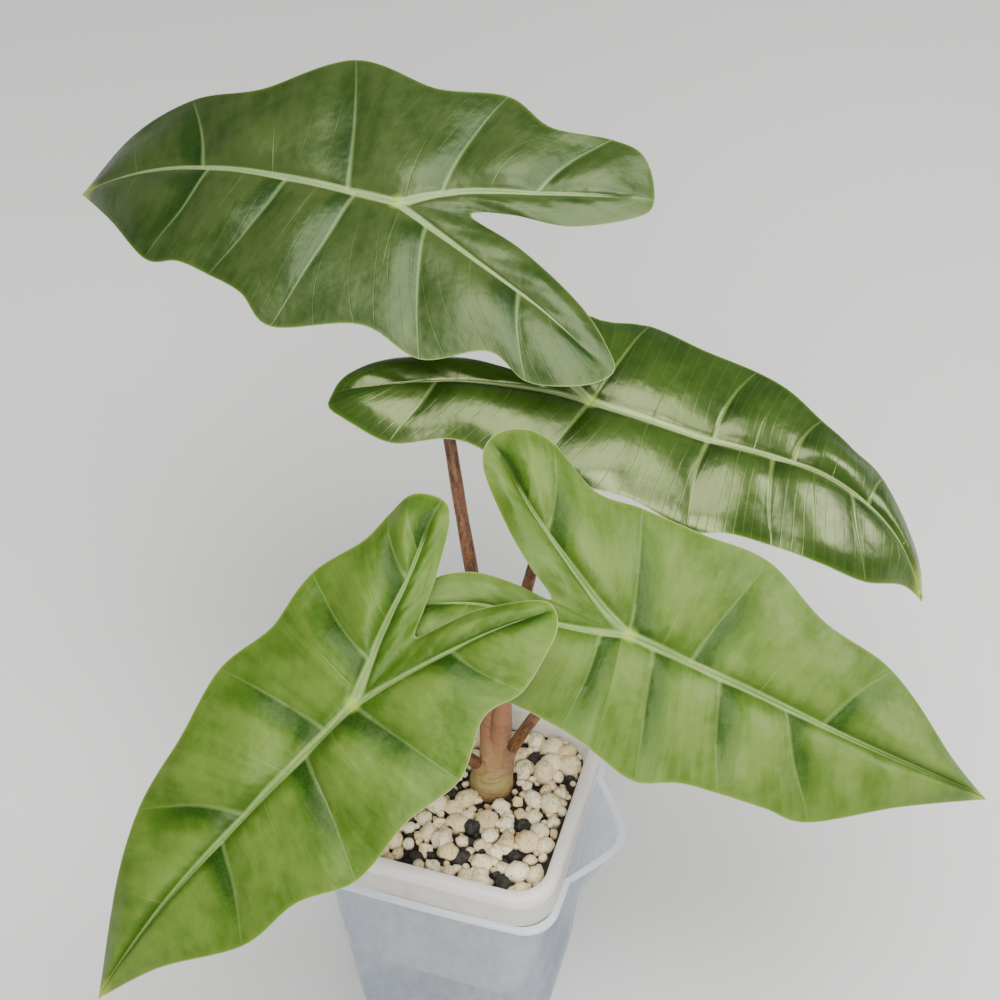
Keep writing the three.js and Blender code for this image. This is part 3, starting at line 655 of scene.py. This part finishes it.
def shaken(seed):
    """The seeded stream of numbers that also places the solids' granules."""
    state = seed
    while True:
        state = (state * 1664525 + 1013904223) % 4294967296
        yield state / 4294967296


def body_half(z):
    top = COLLAR_HALF - RIM_WIDTH + WALL
    return BODY_FLOOR_HALF + (top - BODY_FLOOR_HALF) * (z - BODY_FLOOR) / (POT_HEIGHT - BODY_FLOOR)


def inside_pot(x, y, radius):
    reach = body_half(MIX_LEVEL) - WALL - SEAT_GAP
    corner = BODY_RADIUS - WALL - SEAT_GAP
    corner_x, corner_y = (max(0, abs(value) - reach + corner) for value in (x, y))
    return max(abs(x), abs(y)) < reach - radius - 0.2 and math.hypot(corner_x, corner_y) < corner - radius


def large_granules():
    """Places, sizes and turns of the granules that the solids have too."""
    stream = shaken(GRANULE_SEED)
    steps = math.ceil((body_half(MIX_LEVEL) - WALL - SEAT_GAP) / GRANULE_PITCH)
    places = []
    for row in range(-steps, steps + 1):
        for column in range(-steps, steps + 1):
            radius = GRANULE_RADIUS[0] + (GRANULE_RADIUS[1] - GRANULE_RADIUS[0]) * next(stream) ** 1.4
            x = (column + math.fmod(row, 2) / 2) * GRANULE_PITCH + (next(stream) - 0.5) * 2.6
            y = row * GRANULE_PITCH * 0.94 + (next(stream) - 0.5) * 2.6
            clear = math.hypot(x - BASE[0], y - BASE[1]) > HOLE_RADIUS + radius * 0.7
            if inside_pot(x, y, radius) and clear:
                places.append((x, y, radius))
    stones = []
    for x, y, radius in places:
        z = MIX_LEVEL + radius * (0.1 + 0.35 * next(stream))
        scale = (1, 0.78 + 0.22 * next(stream), 0.72 + 0.2 * next(stream))
        turn_x, turn_z = next(stream) * math.pi, next(stream) * 2 * math.pi
        stones.append(((x, y, z), radius, scale, turn_x, turn_z))
    return stones


def small_granules(large, count=210):
    """Finer granules that fill the gaps between the large ones and close up to the plant's base."""
    stream = shaken(509)
    stones = []
    for _ in range(count * 12):
        x, y = ((next(stream) - 0.5) * 86 for _ in range(2))
        radius = 1.3 + 1.5 * next(stream) ** 1.5
        clear_base = math.hypot(x - BASE[0], y - BASE[1]) > BASE_RADIUS + radius * 0.75
        apart = all(math.dist((x, y), s[0][:2]) > 0.72 * s[1] + 0.55 * radius for s in large)
        apart = apart and all(math.dist((x, y), s[0][:2]) > 0.8 * (s[1] + radius) for s in stones)
        if inside_pot(x, y, radius) and clear_base and apart:
            z = MIX_LEVEL + radius * (next(stream) * 1.1 - 0.1)
            scale = (1, 0.75 + 0.25 * next(stream), 0.7 + 0.25 * next(stream))
            stones.append(((x, y, z), radius, scale, next(stream) * 3.1, next(stream) * 6.2))
        if len(stones) == count:
            break
    return stones


def stone_points(ball, stone, seed):
    """A ball's corners made lumpy, stretched and turned into one granule."""
    place, radius, scale, turn_x, turn_z = stone
    knobbly = 0.22 + 0.3 * (seed % 3 == 0)
    swell = [1 + knobbly * noise.noise(Vector(p) * 1.3 + Vector((seed * 3.7, 0, 0)))
             + 0.22 * abs(noise.noise(Vector(p) * 2.4 + Vector((0, 0, seed * 2.3))))
             + 0.07 * noise.noise(Vector(p) * 5 + Vector((0, seed * 1.9, 0))) for p in ball]
    points = ball * np.array(swell)[:, None] * radius * np.array(scale)
    cx, sx, cz, sz = math.cos(turn_x), math.sin(turn_x), math.cos(turn_z), math.sin(turn_z)
    points = points @ np.array([[1, 0, 0], [0, cx, -sx], [0, sx, cx]]).T
    points = points @ np.array([[cz, -sz, 0], [sz, cz, 0], [0, 0, 1]]).T
    return points + np.array(place)


def granule_heap(name, stones, fineness, first_seed):
    """One ball modelled once, then copied, shaped and joined for each granule."""
    model = added(bpy.ops.mesh.primitive_ico_sphere_add, subdivisions=fineness, radius=1, calc_uvs=False)
    ball = corner_places(model.data)
    copies = []
    for index, stone in enumerate(stones):
        seed = first_seed + index
        copy = placed(name, model.data.copy())
        copy.data.vertices.foreach_set("co", (stone_points(ball, stone, seed) * MM).ravel())
        tone = copy.data.uv_layers.new(name="tone")
        tint = ((seed * 0.618034) % 1, (seed * 0.754878) % 1)
        tone.data.foreach_set("uv", np.tile(tint, len(copy.data.loops)))
        copies.append(copy)
    bpy.data.objects.remove(model)
    piece = joined(copies, name)
    smooth(piece, 70)
    return piece


def square_outline(half, radius, bow=0.0, right_parts=14):
    """A square with round corners, anticlockwise from the front of the right side. Its sides bow out."""
    flat = half - radius
    points = []
    for side in range(4):
        cos, sin = ((1, 0), (0, 1), (-1, 0), (0, -1))[side]
        parts = right_parts if side == 0 else 14
        along = -flat + 2 * flat * np.arange(parts) / parts
        run = [(half + bow * (1 - (y / half) ** 2), y) for y in along]
        swell = bow * (1 - (flat / half) ** 2)
        for angle in np.arange(12) / 12 * math.pi / 2:
            run.append([flat + (radius + swell) * turn for turn in (math.cos(angle), math.sin(angle))])
        points += [(x * cos - y * sin, x * sin + y * cos) for x, y in run]
    return np.array(points)


def eased(profile, roundness):
    """Rounds the corners of a profile of (z, half, radius) marks; `roundness` is by mark, in mm."""
    marks = [np.array(mark, float) for mark in profile]
    made = [marks[0]]
    for before, here, after, size in zip(marks, marks[1:], marks[2:], roundness[1:]):
        if not size:
            made.append(here)
            continue
        ways = []
        for other in (before, after):
            gap = math.hypot(*(other - here)[:2])
            ways.append(here + (other - here) * min(0.45, size / max(gap, 1e-6)))
        for t in (0, 0.25, 0.5, 0.75, 1):
            made.append((1 - t) ** 2 * ways[0] + 2 * t * (1 - t) * here + t**2 * ways[1])
    made.append(marks[-1])
    return made


def moulded(name, profile, outline):
    """Skins rings of a pot, from the middle of its underside to the middle of its top."""
    rings = []
    for z, half, radius in profile:
        ring = outline(z, half, radius)
        rings.append(np.column_stack([ring, np.full(len(ring), z)]))
    rings = [np.tile(rings[0].mean(0), (len(rings[0]), 1)), *rings]
    rings.append(np.tile(rings[-1].mean(0), (len(rings[0]), 1)))
    rings = np.array([np.vstack([ring, ring[:1]]) for ring in rings])
    piece = laid_grid(name, rings)
    weld(piece)
    return piece


def spout_reach(y, z):
    """How far the spout stands out at a place along the right side: straight flanks and a round nose."""
    fade = np.clip((z - LIP_TOP + SPOUT_DEPTH) / SPOUT_DEPTH, 0, 1)
    run = np.hypot(y - SPOUT_CENTRE, SPOUT_ROUND) - SPOUT_ROUND
    share = 1 - run / (math.hypot(SPOUT_HALF, SPOUT_ROUND) - SPOUT_ROUND)
    return SPOUT_REACH * fade * np.maximum(0, share)


def outer_outline(z, half, radius):
    ring = square_outline(half, radius, SIDE_BOW * z / LIP_TOP, right_parts=SPOUT_PARTS)
    kept = 1 - SPOUT_DRAW_IN * (OUTER_RADIUS - radius) / WALL
    ring[:SPOUT_PARTS, 0] += spout_reach(ring[:SPOUT_PARTS, 1], z) * kept
    return ring


def outer_pot():
    wall_half = LIP_HALF - LIP_OVERHANG
    inner = OUTER_RADIUS - WALL
    foot, middle, under = LIP_TOP - SPOUT_DEPTH, LIP_TOP - SPOUT_DEPTH / 2, LIP_TOP - LIP_HEIGHT

    def wall(z, inset=0):
        half = OUTER_BASE_HALF + (wall_half - OUTER_BASE_HALF) * z / LIP_TOP
        return z, half - inset, OUTER_RADIUS - inset

    profile = [
        (0, OUTER_BASE_HALF - 3, OUTER_RADIUS - 2), (0, OUTER_BASE_HALF - 0.4, OUTER_RADIUS),
        (1.6, OUTER_BASE_HALF, OUTER_RADIUS), wall(30), wall(foot), wall(middle),
        (under - LIP_OVERHANG, wall_half, OUTER_RADIUS),
        (under, LIP_HALF, OUTER_RADIUS), (LIP_TOP, LIP_HALF, OUTER_RADIUS),
        (LIP_TOP, wall_half - WALL, inner), wall(middle, WALL), wall(foot, WALL), wall(30, WALL),
        wall(OUTER_FLOOR, WALL), (OUTER_FLOOR, 20, 6),
    ]
    soft = [0, 1.2, 0, 0, 0, 0, 0.7, 0.5, 0.6, 0.5, 0, 0, 0, 2.5, 0]
    piece = moulded("frosted_outer_pot", eased(profile, soft), outer_outline)
    smooth(piece, 35)
    return piece


def inner_pot():
    """Slotted foot, level floor, tapered body, rounded rim and the collar's skirt."""
    under = POT_HEIGHT - WALL
    skirt = POT_HEIGHT - COLLAR_HEIGHT

    def body(z, inset=0):
        return z, body_half(z) - inset, BODY_RADIUS - inset

    def foot(z, inset=0):
        return z, FOOT_HALF - inset, max(1, FOOT_RADIUS - inset)

    def collar(z, inset=0):
        return z, COLLAR_HALF - inset, COLLAR_RADIUS - inset

    profile = [
        foot(FOOT_BOTTOM), foot(BODY_FLOOR), body(BODY_FLOOR), body(90), body(under),
        collar(under, WALL), collar(skirt, WALL), collar(skirt), collar(130), collar(POT_HEIGHT),
        body(POT_HEIGHT, WALL), body(90, WALL), body(BODY_FLOOR + WALL, WALL),
        foot(BODY_FLOOR + WALL, WALL), foot(FOOT_BOTTOM + WALL, WALL),
    ]
    soft = [0, 1, 2.5, 0, 1, 1, 0.4, 0.4, 0, 1.7, 1.5, 0, 2.5, 1, 0]
    piece = moulded("frosted_inner_pot", eased(profile, soft), lambda z, *size: square_outline(*size))
    middle = (FOOT_BOTTOM + WALL + SLOT_HEIGHT / 2 + 3) * MM
    for width, depth in ((SLOT_WIDTH, 3 * FOOT_HALF), (3 * FOOT_HALF, SLOT_WIDTH)):
        slot = added(bpy.ops.mesh.primitive_cube_add, size=MM, location=(0, 0, middle),
                     scale=(width, depth, SLOT_HEIGHT))
        modified(piece, "BOOLEAN", object=slot, operation="DIFFERENCE", solver="EXACT")
        bpy.data.objects.remove(slot)
    smooth(piece, 35)
    return piece


def mix_bed():
    """The body of the mix as seen through the walls, its sides dented between granules."""
    inset = WALL + SEAT_GAP
    marks = [(z, FOOT_HALF - inset, 1.4) for z in (FOOT_BOTTOM + inset, 20, BODY_FLOOR + inset)]
    for z in np.linspace(BODY_FLOOR + inset, MIX_LEVEL - 1, 44):
        marks.append((z, body_half(z) - inset - 0.15, BODY_RADIUS - inset))
    marks += [(MIX_LEVEL - 1, 30, 11), (MIX_LEVEL - 1, 18, 7)]

    def dented(z, half, radius):
        ring = square_outline(half, radius)
        dents = [0.75 * abs(noise.noise(Vector((x, y, z)) / 3.6)) for x, y in ring]
        return ring * (1 - np.array(dents) / max(half, 12))[:, None]

    piece = moulded("mix_bed", marks, dented)
    smooth(piece, 60)
    return piece


def blade_finish(title, look):
    """Pale ribs and side veins, hair veins and a fine net between them, a thin pale margin; painted shade
    beside the side veins, painted highlight on the puffed crests and painted light along the ribs.
    """
    f = Finish("blade " + title)
    u, v = f.pair("plan")
    plan = f.vector(u, v)
    phase, spacing = f.pair("vein")
    rib, margin = f.pair("edge")
    across, along = f.pair("across")
    broad = f.noise(plan, 0.42, 2)
    mottle = f.noise(plan, 1.5, 4, 0.6)
    swell = f.noise(plan, 2.2, 1, 0.4)
    grain = f.noise(plan, 14, 3)
    past_vein = phase.past_whole() * spacing
    vein_gap = abs(past_vein)
    weak_gap = abs((phase + 0.5).past_whole()) * spacing
    vein = (1 - f.rise(vein_gap, 0.0, 0.17 - across * 0.12)) * (1 - across * 0.6)
    weak = (1 - f.rise(weak_gap, 0.0, 0.045)) * (1 - f.rise(across, 0.1, 0.75))
    # Painted shade: one side of each side vein is darkened, where the quilted blade dips into the crease,
    # fading towards the margin.
    painted_vein_shade = f.rise(past_vein, -0.05, 0.08) * (1 - f.rise(past_vein, 0.1, 1.4))
    painted_vein_shade = painted_vein_shade * (1 - f.rise(across, 0.3, 1.0))
    feather = f.noise(f.vector(phase * 6.0 + u * 0.3, across * 1.6 + v * 0.25), 1.3, 4, 0.6, 0.3)
    drift = phase * look["hairs"] + across ** 1.6 * 1.2
    hair_gap = abs(drift.past_whole()) * spacing / look["hairs"]
    hair = (1 - f.rise(hair_gap, 0.0, 0.035)) * f.rise(vein_gap, 0.06, 0.2) * f.rise(across, 0.05, 0.3)
    net = 1 - f.rise(f.cells(plan, 5.5), 0.01, 0.12)
    ribbed = (1 - f.rise(rib, 0.55, 1.3)) * f.rise(along, 0.005, 0.07)
    streak = f.noise(f.vector(rib * 2.6, along * 7), 3.0, 3)
    band = 1 - f.rise(margin, 0.05, 0.22)
    thin = 1 - f.rise(margin, 0.02, 0.045)
    centre = f.node("VectorMath", {"operation": "LENGTH"}, {0: plan}).output(1)
    joint = 1 - f.rise(centre, 0.05, 0.45)
    tip = f.rise(along, 0.955, 0.995)
    # Painted highlight: the crests of the puffs between side veins are made lighter; broad, feather and
    # mottle are random tone.
    painted_crest_light = abs((phase * math.pi).math("SINE")) * (across ** 0.7 * math.pi).math("SINE")
    tone = broad * 0.4 + feather * 0.3 + mottle * 0.2 + painted_crest_light * 0.1 - painted_vein_shade * look["depth"] + 0.05
    # Painted light along the ribs: a pale sheen band on the top leaf, painted shade in the hollows beside
    # the ribs of the others.
    tone = tone + (1 - f.rise(rib, 1.0, 6.0)) * look["painted_rib_light"]
    body = f.layers(look["deep"], [
        (f.rise(tone, 0.15, 0.42), look["body"]),
        (f.rise(tone, 0.38, 0.66), look["pale"]),
        (net * 0.1, look["pale"]),
        (hair * look["hair"], look["vein"]),
        (weak * 0.25, look["vein"]),
        (vein * look["veined"], look["vein"]),
        (band * 0.5, look["band"]),
        (thin * 0.7, look["edge"]),
        (ribbed * 0.9, f.blend(f.rise(streak, 0.3, 0.7), look["rib_low"], look["rib_high"])),
        (joint * 0.7, (0.30, 0.42, 0.05)),
        (tip * 0.8, (0.36, 0.42, 0.06)),
    ])
    height = hair * -0.035 + vein * -0.2 + weak * -0.1 + grain * 0.01
    height = height + ribbed * streak * 0.1 + thin * 0.06 + (swell * 1.2 + mottle * 0.25) * look["crinkle"]
    rough = look["rough"] + (mottle - 0.5) * 0.2 + ribbed * 0.1
    shine = {"Specular IOR Level": look["shine"], "Specular Tint": look["sheen"], "IOR": 1.45}
    return f.surface(body, rough, height, **shine)


def underside_finish(title, tint):
    """Duller and greyer, with raised ribs that stand out paler and a little reddish."""
    f = Finish("underside " + title)
    plan = f.vector(*f.pair("plan"))
    phase, spacing = f.pair("vein")
    rib = f.pair("edge")[0]
    mottle = f.noise(plan, 1.2, 4)
    grain = f.noise(plan, 16, 3)
    vein = 1 - f.rise(abs(phase.past_whole()) * spacing, 0.021, 0.07)
    net = 1 - f.rise(f.cells(plan, 5.5), 0.02, 0.12)
    ribbed = 1 - f.rise(rib, 0.8, 1.3)
    body = f.layers(tint, [
        (f.rise(mottle, 0.3, 0.7), tuple(value * 1.35 for value in tint)),
        (net * 0.3, (0.26, 0.33, 0.17)),
        (vein * 0.7, (0.34, 0.38, 0.2)),
        (ribbed * 0.85, (0.33, 0.27, 0.14)),
    ])
    return f.surface(body, 0.62 + grain * 0.1, vein * 0.15 + net * 0.05 + grain * 0.04)


def stalk_finish():
    """Terracotta brown, mottled with dark streaks that run along the stalk."""
    f = Finish("mottled stalk")
    along, turn = f.pair("stalk")
    angle = turn * (2 * math.pi)
    x, y = angle.math("COSINE") * 0.3, angle.math("SINE") * 0.3
    streaks = f.noise(f.vector(x, y, along * 0.35), 5.5, 5, 0.65, 0.6)
    blots = f.noise(f.vector(x, y, along * 0.6), 11, 4, 0.6)
    fibre = f.noise(f.vector(x, y, along * 0.05), 60, 2)
    body = f.layers((0.21, 0.085, 0.03), [
        (f.rise(streaks, 0.42, 0.66), (0.07, 0.022, 0.009)),
        (f.rise(blots, 0.55, 0.66) * 0.75, (0.03, 0.009, 0.006)),
        (1 - f.rise(blots, 0.3, 0.42), (0.27, 0.14, 0.06)),
    ])
    return f.surface(body, 0.42 + streaks * 0.2, fibre * 0.12 + blots * 0.08)


def base_finish():
    """Brown at the mix, olive and tan above, terracotta where the sheaths run into the stalks."""
    f = Finish("old sheaths")
    spot = f.place()
    x = f.node("SeparateXYZ", None, {0: spot})
    fibre = f.noise(f.stretched(spot, 1, 1, 0.12), 1.1, 5, 0.65)
    rings = f.noise(f.stretched(spot, 0.12, 0.12, 1), 0.8, 3)
    patches = f.noise(spot, 0.16, 3)
    height = x.output(2) - MIX_LEVEL + (patches - 0.5) * 10
    body = f.layers((0.19, 0.10, 0.04), [
        (f.rise(height, 0, 8), (0.42, 0.33, 0.12)),
        (f.rise(height, 8, 18), (0.40, 0.25, 0.10)),
        (f.rise(height, 18, 34), (0.38, 0.17, 0.08)),
        (f.rise(x, BASE[0] + 4, BASE[0] + 10) * f.rise(height, 6, 14), (0.30, 0.17, 0.13)),
        (f.rise(fibre, 0.45, 0.7) * 0.4, (0.26, 0.13, 0.06)),
        (f.rise(rings, 0.52, 0.66) * 0.5, (0.20, 0.10, 0.04)),
    ])
    return f.surface(body, 0.5 + fibre * 0.25, fibre * 0.5 + rings * 0.25)


def pumice_finish():
    """Ivory stone, tinted stone by stone, with small dark pores and painted shade low down, between the
    granules.
    """
    f = Finish("ivory pumice")
    spot = f.place()
    tint, warm = f.pair("tone")
    cloud = f.noise(spot, 0.35, 4, 0.6)
    grit = f.noise(spot, 2.6, 4, 0.7)
    pores = 1 - f.rise(f.cells(spot, 0.95, "F1"), 0.15, 0.29)
    pores = pores * f.rise(f.noise(spot, 0.5, 2), 0.40, 0.52)
    body = f.layers((0.88, 0.69, 0.38), [
        (tint, (1.0, 0.93, 0.64)),
        (f.rise(warm, 0.78, 0.95) * 0.5, (0.66, 0.44, 0.22)),
        (f.rise(cloud, 0.5, 0.75) * 0.35, (0.62, 0.46, 0.22)),
        (pores * 0.8, (0.10, 0.06, 0.03)),
        # Painted shade: granules darken towards their lower parts, between and under the others.
        (f.rise(f.height(spot), MIX_LEVEL + 2.3, MIX_LEVEL - 1.2) * 0.9, (0.07, 0.04, 0.018)),
    ])
    return f.surface(body, 0.88, grit * 0.35 - pores * 0.5 + cloud * 0.5)


def dark_grit_finish():
    f = Finish("dark grit")
    spot = f.place()
    cloud = f.noise(spot, 0.5, 4)
    grit = f.noise(spot, 2.4, 4, 0.7)
    body = f.blend(f.rise(cloud, 0.35, 0.7), (0.016, 0.014, 0.012), (0.06, 0.05, 0.042))
    return f.surface(body, 0.8, grit * 0.5 + cloud * 0.5)


def bed_finish():
    """Granules pressed against the wall, told apart by tone, with painted shade in the gaps between them
    and under the surface granules.
    """
    f = Finish("bed of mix")
    spot = f.place()
    near = f.cells(spot, 0.14, "F1")
    tone = f.node("SeparateColor", None, {0: near.output(1)})
    gap = f.rise(f.cells(spot, 0.14), 0.02, 0.12)
    grit = f.noise(spot, 1.4, 4)
    body = f.layers((0.36, 0.28, 0.2), [
        (tone, (0.82, 0.76, 0.66)),
        (f.rise(tone.output(1), 0.72, 0.8), (0.03, 0.026, 0.022)),
        # Painted shade in the gaps between granules.
        (1 - gap, (0.035, 0.028, 0.02)),
        # Painted shade at the top of the bed, under the surface granules.
        (f.rise(f.height(spot), MIX_LEVEL - 4, MIX_LEVEL - 1.5), (0.03, 0.022, 0.016)),
    ])
    return f.surface(body, 0.92, gap * 0.8 + grit * 0.4)


def frosted_finish(title, tint, clear, rough, lip):
    """Frosted plastic, milkier above `lip` as a painted highlight, with a fine orange-peel surface and
    faint handling marks.
    """
    f = Finish(title)
    spot = f.place()
    cloud = f.noise(spot, 0.05, 3)
    peel = f.noise(spot, 1.3, 2)
    scuffs = f.noise(f.stretched(spot, 1, 1, 0.45), 0.16, 4, 0.65)
    body = f.blend(f.rise(cloud, 0.3, 0.7), tint, tuple(min(1, value * 1.06) for value in tint))
    roughness = rough + (scuffs - 0.5) * 0.14
    bump = f.bump(peel * 0.12 + scuffs * 0.06)
    skin = f.node("BsdfPrincipled", None, {"Base Color": body, "Roughness": roughness, "Normal": bump})
    glow = f.node("BsdfTranslucent", None, {"Color": body})
    through = f.node("BsdfTransparent", None, {"Color": tint})
    milky = f.node("MixShader", None, {0: 0.5, 1: skin, 2: glow})
    # Painted highlight: above `lip` the plastic is made milkier and less clear, for the bright line along
    # the rim.
    painted_lip_highlight = f.rise(f.height(spot), lip - 0.4, lip + 0.4) * 0.8
    share = (clear + (scuffs - 0.5) * 0.3) * (1 - painted_lip_highlight)
    veil = f.node("MixShader", None, {0: share, 1: milky, 2: through})
    f.node("OutputMaterial", None, {"Surface": veil})
    return f.material


def floor_finish():
    f = Finish("studio floor")
    spot = f.place()
    cloud = f.noise(spot, 0.004, 3)
    body = f.blend(cloud, (0.62, 0.61, 0.59), (0.66, 0.65, 0.63))
    return f.surface(body, 0.75)


MATURE = dict(edge=(0.2, 0.25, 0.1), veined=0.75)
YOUNG = dict(edge=(0.24, 0.31, 0.13), veined=0.55, rough=0.42, crinkle=0.3)
# In LOOKS, depth sets how dark the painted shade beside the side veins is; the rib entry paints a sheen
# along the ribs where it is above 0 and shade where it is below 0.
LOOKS = {
    "top": dict(
        **MATURE, deep=(0.004, 0.022, 0.002), body=(0.013, 0.035, 0.003), pale=(0.042, 0.066, 0.014),
        vein=(0.15, 0.22, 0.07), band=(0.05, 0.10, 0.01), sheen=(0.85, 1.0, 0.6),
        rib_low=(0.18, 0.26, 0.09), rib_high=(0.30, 0.37, 0.17), underside=(0.10, 0.15, 0.07),
        depth=0.3, painted_rib_light=0.16, hairs=6, hair=0.03, rough=0.36, shine=0.6, crinkle=0.22,
    ),
    "back": dict(
        **MATURE, deep=(0.005, 0.019, 0.001), body=(0.012, 0.034, 0.002), pale=(0.028, 0.060, 0.006),
        vein=(0.15, 0.22, 0.05), band=(0.05, 0.11, 0.008), sheen=(0.9, 1.0, 0.5),
        rib_low=(0.17, 0.24, 0.07), rib_high=(0.30, 0.37, 0.16), underside=(0.08, 0.13, 0.05),
        depth=0.22, painted_rib_light=-0.05, hairs=9, hair=0.1, rough=0.29, shine=1.0, crinkle=0.16,
    ),
    "front": dict(
        **YOUNG, deep=(0.010, 0.040, 0.002), body=(0.038, 0.088, 0.006), pale=(0.098, 0.158, 0.024),
        vein=(0.15, 0.22, 0.06), band=(0.10, 0.17, 0.014), sheen=(0.85, 1.0, 0.5),
        rib_low=(0.14, 0.22, 0.055), rib_high=(0.22, 0.31, 0.10), underside=(0.19, 0.27, 0.10),
        depth=0.42, painted_rib_light=-0.14, hairs=5, hair=0.03, shine=0.38,
    ),
    "right": dict(
        **YOUNG, deep=(0.016, 0.050, 0.003), body=(0.050, 0.100, 0.009), pale=(0.115, 0.172, 0.034),
        vein=(0.16, 0.23, 0.07), band=(0.10, 0.17, 0.016), sheen=(0.85, 1.0, 0.55),
        rib_low=(0.15, 0.23, 0.06), rib_high=(0.23, 0.32, 0.11), underside=(0.18, 0.26, 0.10),
        depth=0.4, painted_rib_light=-0.12, hairs=6, hair=0.04, shine=0.34,
    ),
}


def studio():
    """Pale floor, three soft lights and the camera at the photograph's angle."""
    floor = added(bpy.ops.mesh.primitive_plane_add, size=6)
    floor.name = "studio_floor"
    floor.data.materials.append(floor_finish())
    lights = [
        ("overhead", (0.14, -0.18, 1.7), (0.0, 0.0, 0.2), 1.3, 46),
        ("front", (0.5, -1.45, 1.4), (0.02, -0.02, 0.15), 0.8, 34),
        ("side", (1.5, 0.6, 1.05), (0.1, 0.05, 0.25), 0.8, 22),
    ]
    for name, place, aim, size, power in lights:
        lamp = bpy.data.lights.new(name, "AREA")
        lamp.size = size
        lamp.energy = power
        holder = placed(name, lamp)
        holder.location = place
        holder.rotation_euler = (Vector(aim) - Vector(place)).to_track_quat("-Z", "Y").to_euler()
    world = bpy.data.worlds.new("studio")
    bpy.context.scene.world = world
    world.use_nodes = True
    sky = world.node_tree.nodes["Background"].inputs
    sky["Color"].default_value = (0.9, 0.95, 1.0, 1)
    sky["Strength"].default_value = 0.18
    camera = placed("camera", bpy.data.cameras.new("camera"))
    camera.location = (0.1571, -0.4689, 0.83)
    camera.rotation_euler = (math.radians(43.9), 0, math.radians(16.9))
    camera.data.lens = 72
    camera.data.clip_start = 0.01
    bpy.context.scene.camera = camera


studio()
mottled = stalk_finish()
for title, leaf in LEAVES.items():
    look = LOOKS[title]
    slot = "blade_mature" if title in ("top", "back") else "blade_young"
    materials = blade_finish(title, look), underside_finish(title, look["underside"])
    finished(blade(title, leaf), "blade_" + title, slot, *materials)
    finished(petiole(title, leaf), "petiole_" + title, "stalk", mottled)
finished(plant_base(), "stem_base", "base", base_finish())

large = large_granules()
small = small_granules(large)
pumice, grit = pumice_finish(), dark_grit_finish()
dark = []
for name, stones, fineness, first_seed in (("large_pumice", large, 3, 1), ("small_pumice", small, 2, 400)):
    shares = np.arange(len(stones)) * 0.381966 % 1
    pale = [stone for stone, share in zip(stones, shares) if share >= DARK_SHARE]
    dark += [stone for stone, share in zip(stones, shares) if share < DARK_SHARE]
    finished(granule_heap(name, pale, fineness, first_seed), "potting_mix", "mix", pumice)
finished(granule_heap("dark_granules", dark, 2, 900), "potting_mix", "mix", grit)
finished(mix_bed(), "potting_mix", "mix", bed_finish())
blue_frost = frosted_finish("bluish frosted plastic", (0.86, 0.89, 0.93), 0.72, 0.34, LIP_TOP - LIP_HEIGHT)
white_frost = frosted_finish("white frosted plastic", (0.96, 0.93, 0.89), 0.42, 0.42, POT_HEIGHT - 6)
finished(outer_pot(), "outer_pot", "outer_plastic", blue_frost)
finished(inner_pot(), "inner_pot", "inner_plastic", white_frost)
